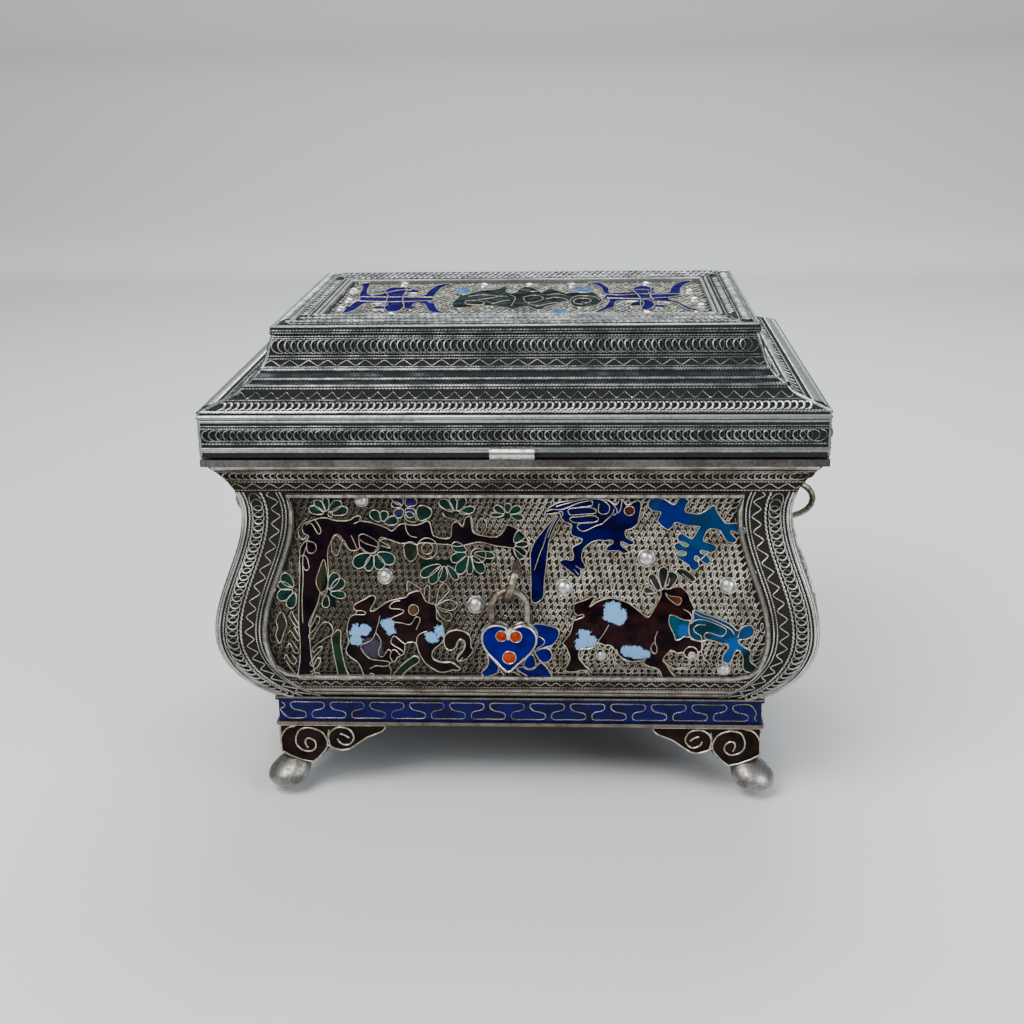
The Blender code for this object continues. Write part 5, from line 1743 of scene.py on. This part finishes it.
@dataclass
class CasketWalls:
    """Borders, nets and enamel of the four ogee sides."""

    half_x: float
    half_y: float
    paints: Paints
    wires: Wirework = field(default_factory=Wirework)
    frame_margin: float = 10.8
    frame_corner: float = 6.0
    frame_bottom: float = 30.8
    frame_top: float = 71.7
    border_top: float = 72.4
    cell_width: float = 1.46
    cell_height: float = 1.42
    studs: tuple[tuple[float, float, float], ...] = (
        (-27.8, 54.1, 1.5), (-32.6, 70.3, 1.3), (-8.2, 48.4, 1.7), (10.6, 52.0, 1.6),
        (28.1, 57.9, 1.7), (45.4, 52.5, 1.6), (45.1, 33.1, 1.3), (38.0, 37.5, 1.0), (18.6, 36.8, 0.9),
    )

    def build(self) -> None:
        """Dress the body and add its wirework."""
        skins = wall_skins("body_shell", self.half_x, self.half_y)
        dress(self.paints["body_shell"], "body_shell")
        # The rim's dark grey is painted shade under the lid's edge.
        dress(self.paints["flange"], "body_rim")
        for name, skin in skins.items():
            dress(self.paints["frame"], "panel_frame_" + name)
            self.edge_borders(name, skin)
            self.level_borders(name, skin)
            self.net(name, skin)
        self.front_picture(skins["front"])
        for side in ("back", "left", "right"):
            self.rosette(side, skins[side])

    def edge_borders(self, name: str, skin: Skin) -> None:
        """Rows that climb beside the two mitres of a side.

        Args:
            name: side of the box.
            skin: its face, unrolled.
        """
        wires, rows = self.wires, Mesher()
        bottom, top = 0.15, float(skin.run_at(self.border_top))
        for sign in (-1, 1):
            def track(distance: float) -> Track:
                """Row so far in from the mitre."""
                return edge_track(skin, sign, distance, bottom, top)

            for distance, cut, step in (
                (0.20, Cut(0.22, 0.24, 4), 1.0), (0.72, Cut(0.30, 0.24, 4), 1.0),
                (1.60, wires.fine_twist, 2.0), (5.40, wires.twist, 2.0),
                (8.75, wires.fine_bead, 2.0), (9.55, wires.fine_twist, 2.0),
            ):
                line(rows, track(distance), cut, step)
            coil(rows, track(3.45), 1.30, 1.53, 1.70, wires.coil)
            zigzag(rows, track(7.30), 0.95, 3.3, wires.wave)
        rows.piece("edge_borders_" + name, self.paints["edge_wire"], Body.CASKET, Slot.BODY_SILVER)

    def level_borders(self, name: str, skin: Skin) -> None:
        """Rows along the top and the bottom of a side, each given by the heights it spans.

        Args:
            name: side of the box.
            skin: its face, unrolled.
        """
        wires, rows = self.wires, Mesher()

        def between(low: float, high: float, margin: float = 0.3) -> tuple[Track, float]:
            """Track of a row and half its width."""
            start, end = float(skin.run_at(low)), float(skin.run_at(high))
            return level_track(skin, (start + end) / 2.0, margin), (end - start) / 2.0

        inset = self.frame_margin - 1.2
        for low, high, margin, cut in (
            (77.6, 78.1, 0.3, wires.fine_bead), (74.8, 75.3, 0.3, wires.bead),
            (72.5, 73.2, 0.3, wires.bead), (28.95, 29.9, inset, wires.bead),
            (26.4, 27.3, inset, wires.bead), (25.7, 26.4, inset, wires.fine_bead),
        ):
            line(rows, between(low, high, margin)[0], cut)
        for low, high, margin, share, thick in (
            (78.1, 79.35, 0.3, 0.9, 0.14), (24.5, 25.8, inset, 0.95, 0.2), (22.9, 24.4, inset, 0.95, 0.2),
        ):
            strip, half = between(low, high, margin)
            line(rows, strip, Cut(share * half, thick, 5))
        scroll, half = between(75.6, 77.9)
        coil(rows, scroll, 0.84 * half, 1.45, 1.60, wires.coil)
        for low, high, margin, pitch in ((73.25, 74.75, 0.3, 3.6), (27.45, 28.75, inset, 2.3)):
            wave, half = between(low, high, margin)
            zigzag(rows, wave, 0.8 * half, pitch, wires.wave)
        rows.piece("level_borders_" + name, self.paints["body_wire"], Body.CASKET, Slot.BODY_SILVER)

    def net(self, name: str, skin: Skin) -> None:
        """Rows of small uneven loops that fill a panel, each row hooked into the one below.

        Args:
            name: side of the box.
            skin: its face, unrolled.
        """
        chance = np.random.default_rng(11)
        rows = Mesher()
        bottom = float(skin.run_at(self.frame_bottom + 0.3))
        top = float(skin.run_at(self.frame_top - 0.2))
        count = round((top - bottom) / self.cell_height)
        step = (top - bottom) / count
        for i in range(count):
            run = bottom + (i + 0.5) * step
            low, high = skin.ends(run)
            height = float(np.interp(run, skin.runs(), skin.height)) - self.frame_bottom
            dip = max(0.0, self.frame_corner - height)
            corner = self.frame_corner - math.sqrt(max(0.0, self.frame_corner ** 2 - dip ** 2))
            limit = float(high) - self.frame_margin - 0.5 - corner
            turns = int(2.0 * limit / self.cell_width)
            angle = turning(turns, 12)
            knots = np.linspace(0, angle[-1], turns)
            wobble = np.interp(angle, knots, chance.normal(0.0, 0.10, turns))
            sway = np.interp(angle, knots, chance.normal(0.0, 0.06, turns))
            shift = (i % 2) * 0.5 * self.cell_width
            along = -limit + shift + angle / (2.0 * math.pi) * self.cell_width
            across = along - 0.58 * np.sin(angle) + 0.22 * np.cos(angle) + wobble
            climb = 0.74 * step * np.cos(angle) + 0.12 * np.sin(2.0 * angle) + sway
            lift = 0.09 * (1.0 - np.sin(angle))
            rows.wire(skin.place(across, run + climb, lift), skin.normals(run + climb), self.wires.net)
        finish = self.paints["front_net"] if name == "front" else self.paints["net_wire"]
        rows.piece("net_" + name, finish, Body.CASKET, Slot.BODY_SILVER)

    def front_picture(self, skin: Skin) -> None:
        """Tree, deer, bird, twig and flower of the front panel.

        Args:
            skin: the front face, unrolled.
        """
        enamel = Enameller(Panel(skin, skin.run_at), self.paints, self.wires)
        for figure in FRONT_FIGURES:
            enamel.figure(figure)
        facing = np.array([0.0, -1.0, 0.0])
        for fan in FANS:
            paint = "blossom" if fan.plate == "blossom" else "green"
            # The ground under each fan's petals is near-black: painted shade between the petals.
            ground = [outline[:, [0, 2]] for outline in face_outlines(fan.plate, facing)]
            enamel.layer(fan.plate + "_ground", "dusk", Slot.GREEN, ground, 0.42, (fan.plate,), False)
            enamel.layer(fan.plate + "_enamel", paint, Slot.GREEN, fan.outlines())
        enamel.finish("cell_walls")
        enamel.studs("front_studs", self.studs)

    def rosette(self, side: str, skin: Skin) -> None:
        """Plain flower in the middle of a side that can't be seen in the photograph.

        Args:
            side: side of the box.
            skin: its face, unrolled.
        """
        enamel = Enameller(Panel(skin, skin.run_at), self.paints, self.wires)
        node = "rosette_" + side
        facing = skin.turned(np.array([0.0, -1.0, 0.0]))
        across = skin.turned(np.array([1.0, 0.0, 0.0]))
        outlines = [
            np.stack([outline @ across, outline[:, 2]], 1) for outline in face_outlines(node, facing)
        ]
        enamel.layer(node + "_enamel", "cobalt", Slot.COBALT, outlines, 0.50, (node,))
        every = np.concatenate(outlines)
        middle = (every.min(0) + every.max(0)) / 2.0
        radius = float(np.linalg.norm(every - middle, axis=1).max())
        turn = np.linspace(0.0, 2.0 * math.pi, 17)[:-1]
        enamel.layer(
            node + "_centre", "teal", Slot.TURQUOISE, [circle(middle, 0.24 * radius, 16)], 0.58
        )
        for angle in turn[::2]:
            way = np.array([math.cos(angle), math.sin(angle)])
            enamel.thread(middle + radius * np.array([[0.28], [0.45], [0.62]]) * way)
        enamel.finish(node + "_walls")
        enamel.studs(node + "_studs", [
            (middle[0] + 1.45 * radius * math.cos(a), middle[1] + 1.45 * radius * math.sin(a), 1.2)
            for a in turn[2::4]
        ])


@dataclass
class Lid:
    """Wirework of the lid's band and cove."""

    half_x: float
    half_y: float
    paints: Paints
    wires: Wirework = field(default_factory=Wirework)

    def build(self) -> None:
        """Dress the lid and add its rows."""
        dress(self.paints["lid_shell"], "lid_shell")
        dress(self.paints["bright"], "hasp_knuckle")
        dress(self.paints["aged"], "hinge_knuckle_lid")
        for name, skin in wall_skins("lid_shell", self.half_x, self.half_y).items():
            self.band(name, skin)
            self.cove(name, skin)

    def band(self, name: str, skin: Skin) -> None:
        """Rows of the upright band.

        Args:
            name: side of the box.
            skin: its face, unrolled.
        """
        wires, rows, strips = self.wires, Mesher(), Mesher()
        edge = float(skin.runs()[1])

        def track(down: float, margin: float = 0.0) -> Track:
            """Row so far below the band's upper edge."""
            return level_track(skin, edge - down, margin)

        for down, cut in (
            (0.90, Cut(0.60, 0.22, 5)), (1.85, Cut(0.34, 0.14, 4)), (7.65, Cut(0.20, 0.34, 5)),
            (8.15, Cut(0.42, 0.18, 4)),
        ):
            line(strips, track(down), cut)
        for down, cut in (
            (0.05, wires.bead), (2.95, wires.fine_bead), (3.50, wires.fine_bead), (6.70, wires.bead),
        ):
            line(rows, track(down), cut)
        coil(rows, track(5.00, 0.3), 1.20, 1.48, 1.66, wires.coil)
        for sign in (-1, 1):
            line(strips, edge_track(skin, sign, 0.18, 0.3, edge - 0.2), Cut(0.24, 0.2, 4))
        rows.piece("lid_band_rows_" + name, self.paints["lid_wire"], Body.LID, Slot.LID_SILVER)
        strips.piece("lid_band_strips_" + name, self.paints["lid_strip"], Body.LID, Slot.LID_SILVER)

    def cove(self, name: str, skin: Skin) -> None:
        """Rows of the slope and cove above the band.

        Args:
            name: side of the box.
            skin: its face, unrolled.
        """
        wires, rows, shining, valleys = self.wires, Mesher(), Mesher(), Mesher()
        knots = [float(r) for r in skin.runs()[1:]]
        edge, top = knots[0], knots[-1]

        def track(run: float, margin: float = 0.0) -> Track:
            """Row so far up the profile."""
            return level_track(skin, run, margin)

        line(shining, track(edge + 0.30), wires.bead)
        crescents(shining, track(edge + 2.10, 0.2), 1.36, 1.42, wires.crescent)
        for run, cut in (
            (edge + 4.75, wires.fine_bead), (edge + 8.35, wires.bead), (knots[3], wires.rope),
            (knots[4], wires.rope), (knots[5], wires.rope), (knots[5] + 0.62, wires.fine_bead),
            (knots[6] + 0.35, wires.fine_bead), (knots[6] + 0.95, wires.fine_bead),
            (knots[6] + 4.62, wires.fine_bead), (top - 0.35, wires.bead),
        ):
            line(rows, track(run), cut)
        for low, high in zip(knots[3:5], knots[4:6]):
            line(valleys, track((low + high) / 2.0), Cut(0.30 * (high - low), 0.06, 3))
        zigzag(rows, track(edge + 6.40, 1.0), 1.10, 3.25, wires.wave)
        zigzag(rows, track(knots[5] + 1.50, 0.6), 0.62, 4.1, wires.wave)
        coil(rows, track(knots[6] + 2.90, 0.3), 1.45, 1.42, 1.62, wires.coil)
        for sign in (-1, 1):
            line(rows, edge_track(skin, sign, 0.22, edge, top), Cut(0.34, 0.30, 4), 1.0)
        rows.piece("lid_cove_rows_" + name, self.paints["lid_wire"], Body.LID, Slot.LID_SILVER)
        shining.piece("lid_crescents_" + name, self.paints["crescent"], Body.LID, Slot.BRIGHT_SILVER)
        valleys.piece("lid_valleys_" + name, self.paints["lid_dark"], Body.LID, Slot.LID_SILVER)


@dataclass
class LidTop:
    """Frame, net, motifs and studs of the flat top."""

    paints: Paints
    wires: Wirework = field(default_factory=Wirework)
    studs: tuple[tuple[float, float], ...] = (
        (-29.9, 21.3), (-41.3, 12.8), (-40.3, -1.3), (-40.5, -11.9), (-9.9, 18.9), (-28.0, -20.3),
        (1.2, 18.4), (11.7, 18.0), (29.7, 19.2), (39.5, 8.0), (40.0, -3.1), (41.0, -11.0),
        (28.6, -20.3),
    )

    def build(self) -> None:
        """Dress the top and add its wirework."""
        dress(self.paints["lid_shell"], "lid_top_panel", "lid_top_frame")
        low, high = box_of("lid_top_panel")
        self.frame_rows(low, high)
        self.net(low, high)
        self.picture(low, high)

    def frame_rows(self, hole_low: Vector, hole_high: Vector) -> None:
        """Rows of the four frame strips.

        Args:
            hole_low: lowest corner of the opening.
            hole_high: its highest corner.
        """
        wires, rows, strips = self.wires, Mesher(), Mesher()
        low, high = box_of("lid_top_frame")
        for name, turn, reach, least, most in (
            ("front", 0.0, (-low.y, -hole_low.y), (low.x, hole_low.x), (high.x, hole_high.x)),
            ("back", math.pi, (high.y, hole_high.y), (-high.x, -hole_high.x), (-low.x, -hole_low.x)),
            ("right", math.pi / 2.0, (high.x, hole_high.x), (low.y, hole_low.y), (high.y, hole_high.y)),
            ("left", -math.pi / 2.0, (-low.x, -hole_low.x), (-high.y, -hole_high.y), (-low.y, -hole_low.y)),
        ):
            skin = Skin(turn, np.array(reach), np.full(2, high.z), np.array(least), np.array(most))
            width = float(skin.runs()[-1])
            edge = upright(turn, reach[0], (low.z + 0.35, high.z), most[0])
            line(rows, level_track(edge, 0.55), wires.bead)
            line(rows, level_track(edge, 0.0), wires.fine_bead)
            if name in ("front", "back"):
                plan = ((0.5, 0.42), (width - 0.5, 0.42))
                scrolls = ((width * 0.26, 1.35), (width * 0.54, 1.35), (width * 0.80, 0.95))
                beads = (1.3, width * 0.40, width * 0.68, width - 1.5)
            else:
                plan = ((0.35, 0.3), (width - 1.6, 0.42), (width - 0.5, 0.42))
                scrolls = ((2.3, 1.05),)
                beads = (0.95, 3.7, 6.1)
                zigzag(rows, level_track(skin, 4.9, 5.0), 0.8, 2.6, wires.wave)
            for run, half in plan:
                line(strips, level_track(skin, run), Cut(half, 0.22, 5))
            for run, half in scrolls:
                coil(rows, level_track(skin, run), half, 1.45, 1.5, wires.coil)
            for run in beads:
                line(rows, level_track(skin, run), wires.fine_bead)
        rows.piece("lid_frame_rows", self.paints["lid_wire"], Body.LID, Slot.LID_SILVER)
        strips.piece("lid_frame_strips", self.paints["lid_strip"], Body.LID, Slot.LID_SILVER)

    def net(self, low: Vector, high: Vector) -> None:
        """Rows of loops on the sunk panel.

        Args:
            low: lowest corner of the panel.
            high: its highest corner.
        """
        chance = np.random.default_rng(5)
        rows = Mesher()
        pitch, step = 1.46, 1.70
        count = int((high.y - low.y) / step)
        turns = int((high.x - low.x - 1.0) / pitch)
        angle = turning(turns, 12)
        knots = np.linspace(0.0, angle[-1], turns)
        up = np.tile([0.0, 0.0, 1.0], (len(angle), 1))
        for i in range(count):
            wobble = np.interp(angle, knots, chance.normal(0.0, 0.10, turns))
            along = low.x + 0.7 + (i % 2) * 0.5 * pitch + angle / (2.0 * math.pi) * pitch
            x = along - 0.58 * np.sin(angle) + 0.22 * np.cos(angle) + wobble
            y = low.y + (i + 0.5) * step + 0.52 * step * np.cos(angle)
            z = high.z + 0.09 * (1.0 - np.sin(angle))
            rows.wire(np.stack([x, y, z], 1), up, self.wires.net)
        rows.piece("lid_net", self.paints["lid_net"], Body.LID, Slot.LID_SILVER)

    def picture(self, low: Vector, high: Vector) -> None:
        """Two winged motifs, the swirl between them, and the studs.

        Args:
            low: lowest corner of the panel.
            high: its highest corner.
        """
        skin = Skin(
            0.0, np.array([-low.y, -high.y]), np.full(2, high.z), np.full(2, low.x), np.full(2, high.x)
        )
        enamel = Enameller(
            Panel(skin, lambda y: np.asarray(y) - low.y, Body.LID), self.paints, self.wires
        )
        for figure in LID_FIGURES:
            enamel.figure(figure)
        enamel.finish("lid_cell_walls")
        enamel.studs("lid_studs", [(x, y, 1.45) for x, y in self.studs])


@dataclass
class Base:
    """Plinth with its key pattern, and the four feet."""

    paints: Paints
    wires: Wirework = field(default_factory=Wirework)
    period: float = 8.9
    half_height: float = 1.95
    inset: float = 0.6
    fret: tuple[tuple[float, float], ...] = (
        (0.0, -0.55), (0.05, -1.0), (0.40, -1.0), (0.78, -1.0), (0.85, -0.70), (0.83, -0.30),
        (0.72, -0.08), (0.55, 0.10), (0.47, 0.55), (0.52, 1.0), (0.90, 1.0), (1.25, 1.0),
        (1.32, 0.70), (1.30, 0.30), (1.20, 0.08), (1.05, -0.10),
    )
    scrolls: tuple[Trace, ...] = (
        (1, 30, 5, -10, 7, -9, 10, -6, 12, -2),
        (105, 57, 2, -15, -7, -18, -11, -10, -16, -6, -13, -1, -15, 5, -7, 10, -4, 15, 2, 13, 9, 11, 13, 5,
         12, -1, 9, -9, 0, -13, -7, -7, -9, -3, -7, 6, 1, 11, 4, 7),
        (109, 32, 5, -14, 12, -10, 14, -3, 16, 4, 9, 10, 3, 12, -4, 10, -10, 8, -11, -1, -9, -6, -4, -9),
        (137, 22, 9, 2, 11, 8),
        (112, 11, -3, 16, 2, 17, 3, 10),
    )

    def build(self) -> None:
        """Dress the base and add its wires."""
        dress(self.paints["plinth"], "plinth")
        corners = ("front_left", "front_right", "back_left", "back_right")
        dress(self.paints["umber"], *("foot_bracket_" + c for c in corners))
        for corner in corners:
            self.pad("foot_pad_" + corner)
        self.meander()
        self.bracket_wires(corners)

    def pad(self, node: str) -> None:
        """Smooth egg-shaped foot in the box of a pad, fuller on its outer side.

        Args:
            node: name of the pad.
        """
        low, high = (np.array(c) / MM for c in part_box(node))
        middle, half = (low + high) / 2.0, (high - low) / 2.0
        tilt = np.linspace(-0.5, 0.5, 21)[:, None] * math.pi
        turn = np.linspace(0.0, 2.0 * math.pi, 37)[None, :-1]
        flat = np.stack([np.cos(tilt) * np.cos(turn), np.cos(tilt) * np.sin(turn)], -1)
        swell = 1.0 + 0.14 * flat @ np.sign(middle[:2])
        ball = np.concatenate([flat * swell[..., None], np.sin(tilt + 0.0 * turn)[..., None]], -1)
        up = ball[..., 2:].copy()
        ball[..., :2] = ball[..., :2] * (1.0 - 0.22 * up) - 0.30 * up * np.sign(middle[:2])
        least, most = ball.min((0, 1)), ball.max((0, 1))
        foot = Mesher()
        foot.grid(middle + half * (2.0 * (ball - least) / (most - least) - 1.0), 1.0, False, True)
        piece = foot.piece(node + "_smooth", self.paints["pad"], Body.CASKET, Slot.BRIGHT_SILVER)
        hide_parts(node)

    def meander(self) -> None:
        """Key pattern in beaded wire on the four sides."""
        low, high = box_of("plinth")
        middle = (low.z + high.z) / 2.0
        rows = Mesher()
        for _, length, depth, turn in four_sides(high.x - self.inset, high.y - self.inset):
            skin = upright(turn, depth, (low.z, high.z), length)
            count = round(2.0 * length / self.period)
            period = 2.0 * length / count
            knots = [(u + i - 0.17, v) for i in range(-1, count + 1) for u, v in self.fret]
            knots = [(u, v) for u, v in knots if 0.02 < u < count - 0.02]
            flat = curve_through(knots, 4) * np.array([period, self.half_height])
            flat = evenly(np.concatenate([flat, np.zeros((len(flat), 1))], 1), WIRE_STEP)
            across = flat[:, 0] - length
            run = middle + flat[:, 1] - low.z
            rows.wire(skin.place(across, run), skin.normals(run), Cut(0.17, 0.22, 4, bead=0.5, lean=0.05))
        rows.piece("plinth_meander", self.paints["body_wire"], Body.CASKET, Slot.BRIGHT_SILVER)

    def bracket_wires(self, corners: Sequence[str]) -> None:
        """Scrolls and edging of silver wire on both wings of every bracket.

        Args:
            corners: names of the four corners.
        """
        low, high = box_of("foot_bracket_front_left")
        wires = Mesher()
        edging = Cut(0.22, 0.26, 4)
        for _, length, depth, turn in four_sides(-low.x, -low.y):
            skin = upright(turn, depth, (low.z, high.z), length)
            for sign in (-1, 1):
                for trace in self.scrolls:
                    drawn = evenly(curve_through(traced(trace), 4), WIRE_STEP)
                    run = high.z - low.z - drawn[:, 1]
                    place = skin.place(sign * (length - drawn[:, 0]), run)
                    wires.wire(place, skin.normals(run), edging)
            facing = skin.turned(np.array([0.0, -1.0, 0.0]))
            for corner in corners:
                for outline in face_outlines("foot_bracket_" + corner, facing):
                    if abs(outline @ facing - depth).max() > 0.3:
                        continue
                    path = evenly(outline, 0.4, True)
                    wires.wire(path, np.tile(facing, (len(path), 1)), edging, True)
        wires.piece("foot_bracket_wires", self.paints["cell_wire"], Body.CASKET, Slot.BRIGHT_SILVER)


@dataclass
class Fittings:
    """Loops, staple, padlock and hinge."""

    paints: Paints
    wires: Wirework = field(default_factory=Wirework)
    heart_front: float = 53.05
    heart_back: float = 50.6
    heart: Trace = (
        -9, 436, -9, 13, -10, 4, -15, 0, -13, -6, -9, -10, -2, -10, 0, -12, 5, -13, 7, -12, 10, -11, 11,
        -12, 10, -12, 11, -7, 7, 3, 10, 11, 11, 10, 11, 10, 11, 12, 7, 12, 4, 12, -1, 14, -8, 12, -10, 7,
        -13, 2, -13, -5, -7, -6,
    )
    dots: tuple[tuple[float, float, float], ...] = ((-2.6, 43.0, 1.2), (0.45, 42.9, 1.3), (-1.0, 38.1, 1.45))

    def build(self) -> None:
        """Dress the fittings."""
        dress(self.paints["aged"], "side_loop_left", "side_loop_right", "front_staple")
        dress(self.paints["aged"], "hinge_knuckle_left", "hinge_knuckle_right")
        dress(self.paints["aged"], "hinge_pin", "padlock_shackle")
        self.padlock()

    def padlock(self) -> None:
        """Heart-shaped case with cobalt enamel, coral dots and a silver rim."""
        front = upright(0.0, self.heart_front, (30.0, 50.0), 10.0)
        drawn = traced(self.heart)
        outline = evenly(curve_through(drawn, 4, True), WALL_STEP, True)
        enamel = Enameller(Panel(front, lambda z: np.asarray(z) - 30.0), self.paints, self.wires, dip=-0.25)
        enamel.layer("padlock_enamel", "cobalt", Slot.COBALT, [drawn], 0.0, ("padlock_heart",))
        rings = [circle(np.array([x, z]), radius, 18) for x, z, radius in self.dots]
        enamel.layer("padlock_dots", "coral", Slot.AUBERGINE, rings, 0.22)
        case = Mesher()
        fore, rear = (
            np.stack([outline[:, 0], np.full(len(outline), -reach), outline[:, 1]], 1)
            for reach in (self.heart_front, self.heart_back)
        )
        case.grid(np.stack([rear, fore]), 1.0, False, True)
        flat, triangles, _ = filled(outline, 0.9)
        places = np.stack([flat[:, 0], np.full(len(flat), -self.heart_back), flat[:, 1]], 1)
        case.sheet(places, triangles[:, ::-1])
        out = np.tile([0.0, -1.0, 0.0], (len(outline), 1))
        case.wire(fore, out, Cut(0.26, 0.40, 5, sink=0.1), True)
        case.wire(rear, -out, Cut(0.30, 0.10, 4, sink=0.1), True)
        drop = np.array([
            [-1.1, -53.2, 44.7], [-1.1, -53.3, 43.7], [-1.1, -53.3, 42.6], [-1.1, -53.2, 41.9],
        ])
        case.wire(drop, out[:4], Cut(0.75, 0.30, 6), full=np.array([1.0, 0.8, 0.45, 0.15]))
        case.piece("padlock_case", self.paints["bright"], Body.CASKET, Slot.BRIGHT_SILVER)
        enamel.finish("padlock_rings")


@dataclass
class Studio:
    """Floor, lights and the camera at the photograph's angle."""

    paints: Paints
    eye: tuple[float, float, float] = (16.302, -347.743, 165.512)
    yaw: float = -0.055
    pitch: float = 0.311
    roll: float = -0.016
    lens: float = 52.73

    def build(self) -> None:
        """Set the stage."""
        self.floor()
        self.lights()
        self.camera()

    def floor(self) -> None:
        """Pale sheet that curves up behind the box."""
        profile = [
            (-900.0, 0.0), (500.0, 0.0), (700.0, 30.0), (850.0, 130.0), (930.0, 320.0), (950.0, 1400.0),
        ]
        sweep = curve_through(profile, 6)
        rows = np.stack([
            np.stack([np.full(len(sweep), x), sweep[:, 0], sweep[:, 1]], 1) for x in (-1800.0, 1800.0)
        ])
        mesh = bpy.data.meshes.new("floor")
        count = len(sweep)
        faces = [(i, count + i, count + i + 1, i + 1) for i in range(count - 1)]
        mesh.from_pydata((rows.reshape(-1, 3) * MM).tolist(), [], faces)
        mesh.shade_smooth()
        mesh.materials.append(self.paints["floor"])
        floor = bpy.data.objects.new("floor", mesh)
        bpy.context.scene.collection.objects.link(floor)

    def lights(self) -> None:
        """Soft sky and three large soft boxes."""
        world = bpy.data.worlds.new("soft sky")
        bpy.context.scene.world = world
        world.use_nodes = True
        background = world.node_tree.nodes["Background"]
        background.inputs["Color"].default_value = (0.80, 0.84, 0.90, 1.0)
        background.inputs["Strength"].default_value = 0.34
        for name, place, size, power, colour in (
            ("key light", (-260.0, -420.0, 620.0), 420.0, 7.0, (1.0, 0.98, 0.95)),
            ("fill light", (520.0, -380.0, 330.0), 380.0, 3.0, (0.92, 0.96, 1.0)),
            ("back light", (60.0, 420.0, 620.0), 420.0, 5.0, (0.95, 0.98, 1.0)),
        ):
            data = bpy.data.lights.new(name, "AREA")
            data.size = size * MM
            data.energy = power
            data.color = colour
            lamp = bpy.data.objects.new(name, data)
            bpy.context.scene.collection.objects.link(lamp)
            lamp.location = Vector(place) * MM
            aim = Vector((0.0, 0.0, 0.05)) - lamp.location
            lamp.rotation_euler = aim.to_track_quat("-Z", "Y").to_euler()

    def camera(self) -> None:
        """Camera of the photograph."""
        data = bpy.data.cameras.new("camera")
        data.lens = self.lens
        data.sensor_width = 36.0
        data.clip_start = 0.01
        camera = bpy.data.objects.new("camera", data)
        bpy.context.scene.collection.objects.link(camera)
        forward = Vector((
            math.sin(self.yaw) * math.cos(self.pitch),
            math.cos(self.yaw) * math.cos(self.pitch),
            -math.sin(self.pitch),
        ))
        right = Vector((math.cos(self.yaw), -math.sin(self.yaw), 0.0))
        up = right.cross(forward)
        turned_right = math.cos(self.roll) * right + math.sin(self.roll) * up
        turned_up = -math.sin(self.roll) * right + math.cos(self.roll) * up
        basis = Matrix((turned_right, turned_up, -forward)).transposed()
        camera.matrix_world = Matrix.Translation(Vector(self.eye) * MM) @ basis.to_4x4()
        bpy.context.scene.camera = camera


def main() -> None:
    """Build every sub-assembly."""
    logging.basicConfig(level=logging.INFO, format="%(message)s")
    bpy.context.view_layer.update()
    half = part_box("lid_shell")[1] / MM
    paints = Paints()
    for assembly in (
        CasketWalls(half.x, half.y, paints),
        Lid(half.x, half.y, paints),
        LidTop(paints),
        Base(paints),
        Fittings(paints),
        Studio(paints),
    ):
        assembly.build()


if __name__ == "__main__":
    main()
